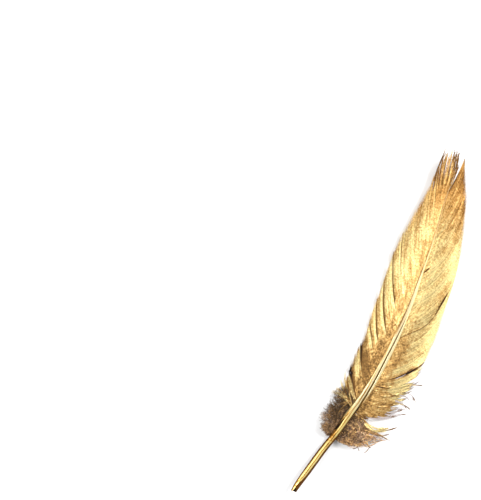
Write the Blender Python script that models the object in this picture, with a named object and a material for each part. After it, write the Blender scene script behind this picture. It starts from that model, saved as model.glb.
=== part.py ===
"""Goose quill feather, painted gold, lying with the grooved inner side of its shaft up.

The feather grew as one piece: a quill, the shaft that it runs on into, a vane on each side of the
shaft, and downy tufts below the vanes. So it is one closed solid. The quill and the shaft are a row of
rings. At each ring the side of the shaft opens into the two vanes, and a vane is a row of locks: bands
of barbs that grow together at the shaft and part from one another farther out. X runs across the
feather, Y from the cut end of the quill to the tip, and Z up from the surface that it rests on.
"""
import math

import bmesh
import bpy
from mathutils import Vector

# ---------------------------------------------------------------- driving sizes, in millimetres
MM = 0.001
MIDDLE_X = 12.95                # the middle of the feather's width, from the quill's cut end
MIDDLE_Y = 78.24                # the middle of its length

SHAFT_END = 143.0               # where the shaft runs out, just short of the frayed tip
QUILL_STATIONS = [0.0, 1.2, 3.5, 8.0, 14.0, 20.0, 24.5]
BORE_SHARE = 0.62               # the hollow of the quill, as a share of its width at the cut end
BORE_DEPTH = 9.0

DOWN_START = 27.0               # the lowest root of the downy tufts on the quill
DOWN_PITCH = 1.4                # from one tuft's root to the next
DOWN_LOCKS = 9
VANE_START = 41.0               # the lowest root of the vanes on the shaft
LOCK_PITCH = 3.0                # from one lock's root to the next
VANE_LOCKS = 33
LOCK_ROWS = [0.0, 0.07, 0.18, 0.31, 0.45, 0.59, 0.73, 0.85, 0.94, 1.0]

# Along the shaft: place, middle across, half width, height, lowest point above the ground.
SHAFT = [
    (0.0, 0.28, 1.12, 2.1, 3.6),
    (3.5, 0.72, 1.40, 2.8, 3.0),
    (10.0, 1.98, 1.58, 3.2, 2.25),
    (20.0, 4.00, 1.58, 3.2, 1.25),
    (30.0, 6.45, 1.50, 3.1, 0.52),
    (38.0, 7.95, 1.50, 2.9, 0.20),
    (45.0, 9.70, 1.50, 2.8, 0.04),
    (50.0, 10.65, 1.46, 2.7, 0.0),
    (60.0, 11.60, 1.44, 2.5, 0.0),
    (75.0, 12.15, 1.30, 2.2, 0.0),
    (90.0, 11.80, 0.82, 1.8, 0.0),
    (105.0, 10.40, 0.52, 1.35, 0.0),
    (120.0, 8.80, 0.36, 1.05, 0.3),
    (135.0, 6.20, 0.26, 0.80, 1.9),
    (143.0, 5.30, 0.20, 0.55, 3.2),
    (157.0, 3.90, 0.20, 0.50, 6.4),
]
# Place along, and place of the groove to the right of the middle, as a share of the half width.
GROOVE = [
    (28.0, 0.95),
    (38.0, 0.88),
    (42.0, 0.80),
    (45.5, 0.50),
    (50.0, 0.36),
    (60.0, 0.18),
    (68.0, 0.02),
    (76.0, 0.12),
    (90.0, 0.40),
    (105.0, 0.40),
]
FLAT_FROM = 50.0                # the feather's back lies on the ground between these two places
FLAT_TO = 112.0

# Guide barbs: place of the root, then the tip across and along, the bow, and the tip's rise.
RIGHT_VANE = [
    (41.0, 28.6, 48.8, 0.28, 2.6),
    (47.0, 30.4, 55.4, 0.29, 3.6),
    (50.0, 30.7, 62.6, 0.27, 3.4),
    (56.0, 27.4, 74.0, 0.24, 3.2),
    (62.0, 26.8, 84.4, 0.26, 3.5),
    (68.0, 25.4, 94.0, 0.28, 3.8),
    (77.0, 23.7, 106.0, 0.31, 4.0),
    (86.0, 21.4, 118.0, 0.28, 3.8),
    (98.0, 17.7, 130.0, 0.22, 3.0),
    (110.0, 13.8, 140.2, 0.18, 1.8),
    (122.0, 9.8, 147.6, 0.13, 1.0),
    (131.0, 7.3, 152.2, 0.08, 0.6),
    (140.0, 5.6, 155.7, 0.05, 0.4),
]
LEFT_VANE = [
    (41.0, 0.0, 50.0, 0.05, 2.8),
    (47.0, -1.5, 65.6, 0.06, 2.4),
    (50.0, -0.6, 69.5, 0.07, 2.2),
    (53.0, -0.9, 73.5, 0.08, 2.0),
    (59.0, -1.8, 81.0, 0.09, 2.0),
    (65.0, -2.6, 90.0, 0.09, 2.2),
    (71.0, -3.6, 99.0, 0.09, 2.8),
    (80.0, -4.5, 109.0, 0.08, 3.0),
    (86.0, -4.3, 117.0, 0.08, 3.0),
    (98.0, -3.6, 128.0, 0.08, 2.6),
    (110.0, -2.7, 139.0, 0.07, 1.6),
    (119.0, -3.4, 149.5, 0.06, 1.2),
    (125.0, -3.1, 155.0, 0.05, 0.8),
    (131.0, 0.0, 156.3, 0.04, 0.4),
    (137.0, 2.9, 155.6, 0.03, 0.2),
    (140.0, 4.8, 148.8, 0.02, 0.2),
]
RIGHT_DOWN = [
    (27.0, 10.2, 25.6, 0.10, 3.0),
    (29.1, 16.6, 26.8, 0.16, 4.4),
    (31.2, 21.8, 29.8, 0.16, 5.4),
    (33.3, 25.2, 34.0, 0.14, 6.0),
    (37.0, 27.6, 38.8, 0.20, 5.6),
    (39.6, 28.4, 42.4, 0.27, 4.2),
]
LEFT_DOWN = [
    (27.0, 2.6, 26.2, 0.12, 3.0),
    (29.1, -0.6, 27.4, 0.16, 4.4),
    (32.0, -3.4, 30.4, 0.14, 5.6),
    (35.4, -4.75, 35.0, 0.10, 6.0),
    (38.2, -4.6, 41.0, 0.07, 5.4),
    (39.6, -3.6, 46.0, 0.05, 4.6),
]

# How a lock parts from its neighbour: the row where the gap opens, the share of the lock that the gap
# takes from it at its tip, and the share of its length that its edge is shorter than its middle.
CLOSED = (8, 0.10, 0.0)
WISPY = (5, 0.70, 0.22)
FRAYED = (4, 0.80, 0.05)
TUFT = (4, 0.45, 0.14)
UNPARTED = (len(LOCK_ROWS) - 1, 0.0, 0.0)
RIGHT_SPLITS = {
    41: WISPY, 44: WISPY, 47: WISPY, 50: WISPY, 53: WISPY,
    56: (3, 0.42, 0.03), 77: (5, 0.12, 0.0),
}
LEFT_SPLITS = {
    41: WISPY, 44: (3, 0.6, 0.08), 47: (5, 0.5, 0.05), 50: (3, 0.35, 0.03),
    59: (3, 0.2, 0.0), 65: (3, 0.22, 0.0), 71: (3, 0.22, 0.0), 80: (3, 0.24, 0.02), 86: (6, 0.12, 0.0),
    116: (6, 0.55, 0.05), 119: FRAYED, 122: FRAYED, 125: FRAYED, 128: FRAYED, 131: FRAYED, 134: FRAYED,
    137: FRAYED,
}

VANE_THICKNESS = 0.55           # through a lock's middle near the shaft
EDGE_THICKNESS = 0.30           # through its tip
DOWN_THICKNESS = 1.5            # through a tuft near the quill
CREASE = 0.7                    # a lock's thickness along its edges, as a share of its middle's
VANE_DIP = LOCK_ROWS[2]         # the share of a barb's length over which the vane sinks to the ground
VANE_CLIMB = LOCK_ROWS[3]       # and the share from which it rises again to the edge
LOCK_LIFT = 0.45                # how far neighbouring locks stand above or below one another

# Points round half a ring, from the groove outwards: on the round quill by their angle from the top,
# and on the shaft by shares of its half width and its height. The first two share out the crest
# between the groove and the shoulder. The two without a height are where a vane's top and underside
# leave the shaft.
QUILL_ANGLES = [22, 48, 76, 104, 156]
SHAFT_ACROSS = [0.36, 0.80, 1.00, 0.94, 0.45]
SHAFT_UP = [1.0, 0.90, None, None, 0.0]
CREST_POINTS = (0, 1)
GROOVE_DEPTH = 0.42             # as a share of the shaft's height
ROUND_UNTIL = 34.0              # the quill is round up to here
GROOVED_FROM = 47.0             # and the shaft has its full groove from here
UPPER_POINT = {"left": 3, "right": 8}
LOWER_POINT = {"left": 4, "right": 7}
VANE_SIDES = (3, 7)             # the sides of a ring where the two vanes grow


# ---------------------------------------------------------------- lines through stations
def ease(value, low, high):
    """Share from 0 at low to 1 at high, with a soft start and end."""
    share = min(1.0, max(0.0, (value - low) / (high - low)))
    return share * share * (3.0 - 2.0 * share)


def along(stations, place):
    """Values at a place on a smooth line through stations, whose first number is their place."""
    last = len(stations) - 1
    index = sum(1 for row in stations[1:-1] if row[0] <= place)
    before, start = stations[max(0, index - 1)], stations[index]
    end, after = stations[index + 1], stations[min(last, index + 2)]
    span = end[0] - start[0]
    share = min(1.0, max(0.0, (place - start[0]) / span))
    values = []
    for column in range(1, len(start)):
        slope_in = span * (end[column] - before[column]) / (end[0] - before[0])
        slope_out = span * (after[column] - start[column]) / (after[0] - start[0])
        rise = end[column] - start[column]
        bend = 3.0 * rise - 2.0 * slope_in - slope_out
        twist = slope_in + slope_out - 2.0 * rise
        values.append(start[column] + share * (slope_in + share * (bend + share * twist)))
    return values


def ground_height(place):
    """Height of the feather's back above the ground."""
    if FLAT_FROM <= place <= FLAT_TO:
        return 0.0
    return max(0.0, along(SHAFT, place)[3])


def root_thickness(root):
    """Thickness of a vane or tuft where it leaves the shaft."""
    height = along(SHAFT, root)[2]
    thick = DOWN_THICKNESS + (VANE_THICKNESS - DOWN_THICKNESS) * ease(root, 36.0, 44.0)
    return min(thick, 0.6 * height)


def root_clearance(root):
    """Height above the feather's back at which the underside of a vane or tuft leaves the shaft."""
    height = along(SHAFT, root)[2]
    middle_share = 0.5 - 0.18 * ease(root, 30.0, 50.0)
    return middle_share * height - root_thickness(root) / 2


# ---------------------------------------------------------------- the quill and the shaft
def half_ring(place, outward):
    """Points of one side of a ring as place across and height, from the groove to the back."""
    _, half_width, height, _ = along(SHAFT, place)
    groove = outward * along(GROOVE, place)[0]
    back = ground_height(place)
    grooved = ease(place, ROUND_UNTIL, GROOVED_FROM)
    vane_under = back + root_clearance(place)
    vane_heights = {2: vane_under + root_thickness(place), 3: vane_under}
    points = []
    for index, angle in enumerate(QUILL_ANGLES):
        turn = math.radians(angle)
        share = SHAFT_ACROSS[index]
        if index in CREST_POINTS:
            share = groove + (1.0 - groove) * share
        round_across = math.sin(turn)
        across = outward * half_width * (round_across + (share - round_across) * grooved)
        if index in vane_heights:
            points.append((across, vane_heights[index]))
            continue
        round_up = (1.0 + math.cos(turn)) / 2
        up = round_up + (SHAFT_UP[index] - round_up) * grooved
        points.append((across, back + height * up))
    return points


def ring_points(place, size=1.0):
    """Eleven points round the quill or shaft: the groove first, then down its left side."""
    middle, half_width, height, _ = along(SHAFT, place)
    back = ground_height(place)
    grooved = ease(place, ROUND_UNTIL, GROOVED_FROM)
    groove_across = along(GROOVE, place)[0] * half_width * grooved
    groove = (groove_across, back + height * (1.0 - GROOVE_DEPTH * grooved))
    outline = [groove] + half_ring(place, -1.0) + list(reversed(half_ring(place, 1.0)))
    centre = back + height / 2
    return [Vector((middle + size * across, place, centre + size * (up - centre)))
            for across, up in outline]


class Solid:
    """Points and faces of one closed body."""

    def __init__(self):
        self.points = []
        self.faces = []

    def add(self, *points):
        """Numbers of new points."""
        first = len(self.points)
        self.points.extend(points)
        return list(range(first, first + len(points)))

    def strip(self, first, second):
        """Faces between two equally long rows of points."""
        for index in range(len(first) - 1):
            self.faces.append((first[index], first[index + 1], second[index + 1], second[index]))

    def tube(self, first, second, left_open=()):
        """Faces between two rings, leaving out the sides where a vane grows."""
        for index in range(len(first)):
            if index not in left_open:
                after = (index + 1) % len(first)
                self.faces.append((first[index], first[after], second[after], second[index]))


# ---------------------------------------------------------------- barbs and locks
class Vane:
    """One side's row of locks, in a vane or in the down."""

    def __init__(self, side, guides, start, pitch, count, thickness, splits, usual_split):
        self.side = side
        self.outward = 1.0 if side == "right" else -1.0
        self.guides = guides
        self.roots = [round(start + pitch * step / 2, 3) for step in range(2 * count + 1)]
        self.thickness = thickness
        self.splits = splits
        self.usual_split = usual_split
        self.shared = {}

    def split_at(self, root):
        """How the locks part at a root. The outermost edges are free from the shaft on."""
        row, taken, shorter = self.splits.get(root, self.usual_split)
        if root in (self.roots[0], self.roots[-1]):
            row = 0
        return row, taken, shorter

    def barb_point(self, root, share):
        """Ground plan of the barb that grows at root, a share of the way to its tip."""
        middle, half_width, _, _ = along(SHAFT, root)
        tip_x, tip_y, bow, _ = along(self.guides, root)
        start = Vector((middle + self.outward * half_width, root))
        tip = Vector((tip_x, tip_y))
        chord = tip - start
        across = Vector((chord.y, -chord.x)) * self.outward
        pull = start + chord * 0.42 + across * bow
        return start * (1 - share) ** 2 + pull * (2 * share * (1 - share)) + tip * share ** 2

    def underside(self, root, place, share, lift):
        """Height of a barb's underside, a share of the way to its tip."""
        sunk = ease(share, 0.0, VANE_DIP)
        climb = max(0.0, share - VANE_CLIMB) / (1.0 - VANE_CLIMB)
        rise = along(self.guides, root)[3]
        height = ground_height(place) + root_clearance(root) * (1.0 - sunk)
        return max(0.0, height + rise * climb ** 2 + lift * climb)

    def column(self, solid, rings, number, root, centre_root, split, first_gap):
        """Pairs of points, top and underside, along one barb of a lock."""
        open_row, taken, shorter = split
        is_edge = root != centre_root
        ring = rings[root]
        pairs = [(ring[UPPER_POINT[self.side]], ring[LOWER_POINT[self.side]])]
        for row, share in enumerate(LOCK_ROWS[1:], start=1):
            joined = is_edge and row <= open_row
            if joined and (root, row) in self.shared:
                pairs.append(self.shared[root, row])
                continue
            parted = ease(share, LOCK_ROWS[open_row], 1.0) if is_edge and not joined else 0.0
            plan = self.barb_point(root, share * (1.0 - shorter * parted))
            if is_edge:
                plan = plan.lerp(self.barb_point(centre_root, share), taken * parted)
            lift = lock_lift(number) * ease(share, LOCK_ROWS[first_gap], 1.0)
            low = self.underside(root, plan.y, share, lift)
            thick = self.thickness + (EDGE_THICKNESS - self.thickness) * share
            thick *= CREASE if is_edge else 1.0
            pair = tuple(solid.add(Vector((plan.x, plan.y, low + thick)), Vector((plan.x, plan.y, low))))
            pairs.append(pair)
            if joined:
                self.shared[root, row] = pair
        return pairs

    def add_lock(self, solid, rings, number):
        """Faces of one lock: its top, its underside, its tip and its parted edges."""
        low, centre, high = self.roots[2 * number:2 * number + 3]
        splits = [self.split_at(low), UNPARTED, self.split_at(high)]
        first_gap = min(splits[0][0], splits[2][0])
        columns = [self.column(solid, rings, number, root, centre, split, first_gap)
                   for root, split in zip((low, centre, high), splits)]
        for left, right in zip(columns, columns[1:]):
            for layer in (0, 1):
                solid.strip([pair[layer] for pair in left], [pair[layer] for pair in right])
            solid.faces.append((left[-1][0], right[-1][0], right[-1][1], left[-1][1]))
        for column, split in ((columns[0], splits[0]), (columns[2], splits[2])):
            parted = column[split[0]:]
            solid.strip([pair[0] for pair in parted], [pair[1] for pair in parted])

    def add_locks(self, solid, rings):
        """Every lock, from the lowest to the highest."""
        for number in range(len(self.roots) // 2):
            self.add_lock(solid, rings, number)


def lock_lift(number):
    """Height of a lock above or below its neighbours, an up and down that doesn't repeat."""
    return LOCK_LIFT * math.sin(2.4 * number) * math.cos(0.7 * number)


def add_shaft(solid, down_roots, vane_roots):
    """Rings of the quill and the shaft by their place, with the faces between them."""
    places = QUILL_STATIONS + down_roots + vane_roots + [SHAFT_END]
    rings = {place: solid.add(*ring_points(place)) for place in places}
    for low, high in zip(places, places[1:]):
        in_down = low in down_roots and high in down_roots
        in_vane = low in vane_roots and high in vane_roots
        solid.tube(rings[low], rings[high], VANE_SIDES if in_down or in_vane else ())
    solid.faces.append(tuple(rings[SHAFT_END]))
    return rings


def add_bore(solid, mouth_ring):
    """The hollow that shows at the quill's cut end, narrowing to its floor."""
    mouth = solid.add(*ring_points(QUILL_STATIONS[0], BORE_SHARE))
    floor = solid.add(*ring_points(BORE_DEPTH, BORE_SHARE / 2))
    solid.tube(mouth_ring, mouth)
    solid.tube(mouth, floor)
    solid.faces.append(tuple(floor))


def build_feather():
    """The whole feather as one closed solid."""
    vane_row = (VANE_START, LOCK_PITCH, VANE_LOCKS, VANE_THICKNESS)
    down_row = (DOWN_START, DOWN_PITCH, DOWN_LOCKS, DOWN_THICKNESS)
    vanes = [
        Vane("left", LEFT_VANE, *vane_row, LEFT_SPLITS, CLOSED),
        Vane("right", RIGHT_VANE, *vane_row, RIGHT_SPLITS, CLOSED),
        Vane("left", LEFT_DOWN, *down_row, {}, TUFT),
        Vane("right", RIGHT_DOWN, *down_row, {}, TUFT),
    ]
    solid = Solid()
    rings = add_shaft(solid, down_roots=vanes[2].roots, vane_roots=vanes[0].roots)
    add_bore(solid, rings[QUILL_STATIONS[0]])
    for vane in vanes:
        vane.add_locks(solid, rings)
    return solid


# ---------------------------------------------------------------- the object
def gold_material():
    """Matt gold paint over the horn of the feather."""
    material = bpy.data.materials.new("gold_painted_feather")
    material.use_nodes = True
    shader = material.node_tree.nodes["Principled BSDF"]
    shader.inputs["Base Color"].default_value = (0.58, 0.37, 0.12, 1.0)
    shader.inputs["Metallic"].default_value = 0.6
    shader.inputs["Roughness"].default_value = 0.45
    return material


def turn_outwards(mesh):
    """Turn every face of a closed mesh to point out."""
    work = bmesh.new()
    work.from_mesh(mesh)
    bmesh.ops.recalc_face_normals(work, faces=work.faces)
    work.to_mesh(mesh)
    work.free()


def main():
    for item in list(bpy.data.objects):
        bpy.data.objects.remove(item, do_unlink=True)
    solid = build_feather()
    shift = Vector((MIDDLE_X, MIDDLE_Y, 0.0))
    mesh = bpy.data.meshes.new("feather")
    mesh.from_pydata([(point - shift) * MM for point in solid.points], [], solid.faces)
    turn_outwards(mesh)
    mesh.materials.append(gold_material())
    mesh.shade_smooth()
    mesh.set_sharp_from_angle(angle=math.radians(40))
    feather = bpy.data.objects.new("feather", mesh)
    bpy.context.scene.collection.objects.link(feather)


main()
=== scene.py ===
# %% [markdown]
# # A gold-painted goose quill feather
#
# This lesson dresses the plain solid of one feather. The feather lies with the grooved side of its
# shaft up. Its vanes are some hundreds of barbs that hook into one sheet, its foot has loose down,
# and the whole of it was sprayed with gold paint that is thin in places.
#
# The solid stays the guide: every barb starts on the shaft, follows the vane's form and ends where
# the solid's locks end. So the same stations are written here, in millimetres: across the feather,
# along it from the cut end of the quill, and up from the ground.

# %% Start from the packed feather
import math

import bpy
import numpy as np
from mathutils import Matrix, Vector


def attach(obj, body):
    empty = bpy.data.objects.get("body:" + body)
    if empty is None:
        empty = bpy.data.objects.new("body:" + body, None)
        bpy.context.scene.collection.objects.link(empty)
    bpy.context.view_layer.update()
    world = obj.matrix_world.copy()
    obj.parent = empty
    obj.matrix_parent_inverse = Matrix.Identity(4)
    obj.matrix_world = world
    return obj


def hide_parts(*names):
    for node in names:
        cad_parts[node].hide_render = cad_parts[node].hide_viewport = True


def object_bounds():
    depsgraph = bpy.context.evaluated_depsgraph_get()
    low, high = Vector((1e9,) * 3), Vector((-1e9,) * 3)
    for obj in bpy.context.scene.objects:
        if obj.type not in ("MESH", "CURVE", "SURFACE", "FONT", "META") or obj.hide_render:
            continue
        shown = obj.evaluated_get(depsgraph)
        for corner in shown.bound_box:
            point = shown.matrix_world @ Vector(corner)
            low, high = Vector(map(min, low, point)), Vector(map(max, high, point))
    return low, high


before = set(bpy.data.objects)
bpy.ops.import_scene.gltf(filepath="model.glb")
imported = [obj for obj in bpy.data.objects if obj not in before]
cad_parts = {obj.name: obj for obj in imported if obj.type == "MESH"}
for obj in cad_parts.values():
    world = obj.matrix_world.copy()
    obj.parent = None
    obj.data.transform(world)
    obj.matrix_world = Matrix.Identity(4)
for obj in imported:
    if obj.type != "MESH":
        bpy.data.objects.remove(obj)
solid_low, solid_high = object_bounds()
MM = 0.001                      # the scene counts in metres
print("solid, mm:", [round(c / MM, 2) for c in (*solid_low, *solid_high)])

# %% [markdown]
# ## The feather's plan
#
# A feather is read from its shaft outwards. A short table says where the shaft runs, how wide and tall
# it is, and how high its back is above the ground. It could be traced point by point, but a smooth
# line through a few stations has no kinks and is easy to change.

# %% Stations of the shaft
SHAFT = [  # place along, middle across, half width, height, height of the back above the ground
    (0.0, 0.28, 1.12, 2.1, 3.6),
    (3.5, 0.72, 1.40, 2.8, 3.0),
    (10.0, 1.98, 1.58, 3.2, 2.25),
    (20.0, 4.00, 1.58, 3.2, 1.25),
    (30.0, 6.45, 1.50, 3.1, 0.52),
    (38.0, 7.95, 1.50, 2.9, 0.20),
    (45.0, 9.70, 1.50, 2.8, 0.04),
    (50.0, 10.65, 1.46, 2.7, 0.0),
    (60.0, 11.60, 1.44, 2.5, 0.0),
    (75.0, 12.15, 1.30, 2.2, 0.0),
    (90.0, 11.80, 0.82, 1.8, 0.0),
    (105.0, 10.40, 0.52, 1.35, 0.0),
    (120.0, 8.80, 0.36, 1.05, 0.3),
    (135.0, 6.20, 0.26, 0.80, 1.9),
    (143.0, 5.30, 0.20, 0.55, 3.2),
    (157.0, 3.90, 0.20, 0.50, 6.4),
]
FLAT_FROM, FLAT_TO = 50.0, 112.0    # between these places the back lies flat on the ground


def along(stations, places):
    """Columns of smooth values at places on the line through stations."""
    table = np.array(stations)
    places = np.asarray(places, float)
    last = len(table) - 1
    index = np.clip(np.searchsorted(table[:, 0], places, side="right") - 1, 0, last - 1)
    before, start = table[np.maximum(index - 1, 0)], table[index]
    end, after = table[index + 1], table[np.minimum(index + 2, last)]
    span = end[..., :1] - start[..., :1]
    share = np.clip((places[..., None] - start[..., :1]) / span, 0.0, 1.0)
    slope_in = span * (end - before) / (end[..., :1] - before[..., :1])
    slope_out = span * (after - start) / (after[..., :1] - start[..., :1])
    rise = end - start
    bend = 3.0 * rise - 2.0 * slope_in - slope_out
    twist = slope_in + slope_out - 2.0 * rise
    values = start + share * (slope_in + share * (bend + share * twist))
    return np.moveaxis(values[..., 1:], -1, 0)


def ground_height(places):
    """Height of the feather's back above the ground."""
    flat = (places >= FLAT_FROM) & (places <= FLAT_TO)
    return np.where(flat, 0.0, np.maximum(0.0, along(SHAFT, places)[3]))


print("the quill is", round(2.0 * float(along(SHAFT, 20.0)[1]), 2), "mm wide")

# %% [markdown]
# ## Guide barbs
#
# A vane has some hundreds of barbs, too many to draw one by one. So a few guide barbs are drawn, each
# by its root on the shaft, its tip, its bow and the rise of its tip. A smooth line through the guides
# gives every barb in between.

# %% Guide barbs of the vanes
RIGHT_VANE = [  # place of the root, tip across, tip along, bow, rise of the tip
    (41.0, 28.6, 48.8, 0.28, 2.6),
    (47.0, 30.4, 55.4, 0.29, 3.6),
    (50.0, 30.7, 62.6, 0.27, 3.4),
    (56.0, 27.4, 74.0, 0.24, 3.2),
    (62.0, 26.8, 84.4, 0.26, 3.5),
    (68.0, 25.4, 94.0, 0.28, 3.8),
    (77.0, 23.7, 106.0, 0.31, 4.0),
    (86.0, 21.4, 118.0, 0.28, 3.8),
    (98.0, 17.7, 130.0, 0.22, 3.0),
    (110.0, 13.8, 140.2, 0.18, 1.8),
    (122.0, 9.8, 147.6, 0.13, 1.0),
    (131.0, 7.3, 152.2, 0.08, 0.6),
    (140.0, 5.6, 155.7, 0.05, 0.4),
]
LEFT_VANE = [
    (41.0, 0.0, 50.0, 0.05, 2.8),
    (47.0, -1.5, 65.6, 0.06, 2.4),
    (50.0, -0.6, 69.5, 0.07, 2.2),
    (53.0, -0.9, 73.5, 0.08, 2.0),
    (59.0, -1.8, 81.0, 0.09, 2.0),
    (65.0, -2.6, 90.0, 0.09, 2.2),
    (71.0, -3.6, 99.0, 0.09, 2.8),
    (80.0, -4.5, 109.0, 0.08, 3.0),
    (86.0, -4.3, 117.0, 0.08, 3.0),
    (98.0, -3.6, 128.0, 0.08, 2.6),
    (110.0, -2.7, 139.0, 0.07, 1.6),
    (119.0, -3.4, 149.5, 0.06, 1.2),
    (125.0, -3.1, 155.0, 0.05, 0.8),
    (131.0, 0.0, 156.3, 0.04, 0.4),
    (137.0, 2.9, 155.6, 0.03, 0.2),
    (140.0, 4.8, 148.8, 0.02, 0.2),
]
LEFT, RIGHT = -1.0, 1.0
ROOT_INSET = 0.7                    # barbs start at this share of the shaft's half width
BOW_PLACE = 0.42                    # share of the barb at which its bow pulls it out


def bowed_line(start, pull, end, shares):
    """Places at shares of the line from start to end that bows towards pull."""
    rest = 1.0 - shares
    return start * rest ** 2 + pull * 2.0 * shares * rest + end * shares ** 2


def barb_plan(outward, guides, roots, shares):
    """Ground plan, across and along, of the barbs that grow at roots."""
    middle, half_width, _, _ = along(SHAFT, roots)
    tip_x, tip_y, bow, _ = along(guides, roots)
    root_x = middle + outward * half_width * ROOT_INSET
    chord_x, chord_y = tip_x - root_x, tip_y - roots
    pull_x = root_x + chord_x * BOW_PLACE + outward * chord_y * bow
    pull_y = roots + chord_y * BOW_PLACE - outward * chord_x * bow
    return bowed_line(root_x, pull_x, tip_x, shares), bowed_line(roots, pull_y, tip_y, shares)


spans = [math.dist((along(SHAFT, root)[0], root), tip) for root, *tip, _, _ in RIGHT_VANE + LEFT_VANE]
print(len(spans), "guide barbs, and the longest spans", round(max(spans), 1), "mm")

# %% [markdown]
# ## Node trees by script
#
# Finishes and Geometry Nodes are both trees of nodes. They could be laid out by hand in the editors,
# but a script makes the same tree each time and can be read as text. A few short helpers place a node,
# fill its sockets and link it, so that each line below says what it does to the feather.

# %% Short ways to build node trees
def add_socket(group, name, kind, default=None, output=False):
    """A named input of a node group, or an output."""
    socket = group.interface.new_socket(name=name, in_out="OUTPUT" if output else "INPUT", socket_type=kind)
    if default is not None:
        socket.default_value = default


class Nodes:
    """Adds nodes to a tree and links them."""

    def __init__(self, tree):
        self.tree = tree
        self.tree.nodes.clear()

    def add(self, kind, **settings):
        """A new node with its settings."""
        node = self.tree.nodes.new(kind)
        for name, value in settings.items():
            setattr(node, name, value)
        return node

    def put(self, value, socket):
        """Link value to the socket if it is a socket itself, or else set it."""
        if isinstance(value, bpy.types.NodeSocket):
            self.tree.links.new(value, socket)
        else:
            socket.default_value = value

    def feed(self, node, **values):
        """Set or link a node's inputs by name, with _ for a space."""
        for name, value in values.items():
            self.put(value, node.inputs[name.replace("_", " ")])
        return node

    def math(self, operation, *values):
        """A sum, product or the like of values."""
        node = self.add("ShaderNodeMath", operation=operation)
        for index, value in enumerate(values):
            self.put(value, node.inputs[index])
        return node.outputs[0]

    def swing(self, value, amount):
        """A value that lies about a half, spread by amount about zero."""
        return self.math("MULTIPLY", self.math("SUBTRACT", value, 0.5), amount)

    def mix(self, factor, first, second, blend="MIX"):
        """Mix of two colours."""
        node = self.add("ShaderNodeMix", data_type="RGBA", blend_type=blend)
        for socket, value in zip((node.inputs[0], node.inputs[6], node.inputs[7]), (factor, first, second)):
            self.put(value, socket)
        return node.outputs[2]

    def tint(self, colour, by):
        """A colour multiplied by another, or by a value."""
        return self.mix(1.0, colour, by, "MULTIPLY")

    def ramp(self, value, low, high, out_low=0.0, out_high=1.0):
        """Value spread from low..high to out_low..out_high, with soft ends."""
        node = self.add("ShaderNodeMapRange", interpolation_type="SMOOTHSTEP")
        names = ("Value", "From Min", "From Max", "To Min", "To Max")
        for name, number in zip(names, (value, low, high, out_low, out_high)):
            self.put(number, node.inputs[name])
        return node.outputs[0]

    def noise(self, vector, scale, detail, roughness):
        """A cloudy pattern in space, from 0 to 1 and mostly near a half."""
        node = self.add("ShaderNodeTexNoise")
        self.feed(node, Vector=vector, Scale=scale, Detail=detail, Roughness=roughness)
        return node.outputs[0]

    def vector(self, **parts):
        """A vector from its parts X, Y and Z."""
        return self.feed(self.add("ShaderNodeCombineXYZ"), **parts).outputs[0]

    def part(self, vector, name):
        """One part of a vector: X, Y or Z."""
        return self.feed(self.add("ShaderNodeSeparateXYZ"), Vector=vector).outputs[name]

    def attribute(self, name):
        """A number stored on the points of a mesh."""
        return self.add("ShaderNodeAttribute", attribute_name=name).outputs["Fac"]


print("short ways:", ", ".join(name for name in vars(Nodes) if not name.startswith("_")))

# %% [markdown]
# ## Gold paint
#
# Sprayed gold paint isn't one flat colour. It lies thick and pale where the spray hit squarely, deep
# and brownish where it is thin, and in hollows the natural feather shows. Its flakes make a grain. The
# quill, the barbs and the down all have it in different amounts, so it is one node group with named
# inputs. A picture wrapped round the feather would do it too, but a pattern worked out in space has
# no seams and stays sharp.

# %% Node group: gold paint on a natural ground
HIDES_GROUND = 0.38                         # from this thickness on, paint hides what is below it
THICK_FROM, THICK_TO = 0.35, 0.95           # thickness over which deep gold turns pale
DULL_FLAKES, BRIGHT_FLAKES = (0.60, 0.49, 0.34, 1), (1.16, 1.15, 1.12, 1)
BARE_ROUGHNESS, PAINTED_ROUGHNESS, THICK_GLOSS = 0.75, 0.52, 0.12
METAL_SHARE = 0.85
PAINT_INPUTS = [  # name, kind of socket, value; the sizes are in millimetres
    ("Vector", "NodeSocketVector", None),
    ("Patch Vector", "NodeSocketVector", None),
    ("Pale Gold", "NodeSocketColor", (0.93, 0.77, 0.36, 1)),
    ("Deep Gold", "NodeSocketColor", (0.50, 0.29, 0.09, 1)),
    ("Ground", "NodeSocketColor", (0.13, 0.075, 0.035, 1)),
    ("Cover", "NodeSocketFloat", 0.8),
    ("Patch Size", "NodeSocketFloat", 4.0),
    ("Grain Size", "NodeSocketFloat", 0.45),
    ("Grain", "NodeSocketFloat", 0.5),
    ("Mottle", "NodeSocketFloat", 0.5),
    ("Gloss", "NodeSocketFloat", 0.0),
]
PAINT_OUTPUTS = [
    ("Color", "NodeSocketColor"),
    ("Roughness", "NodeSocketFloat"),
    ("Metal", "NodeSocketFloat"),
    ("Height", "NodeSocketFloat"),
]


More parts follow.
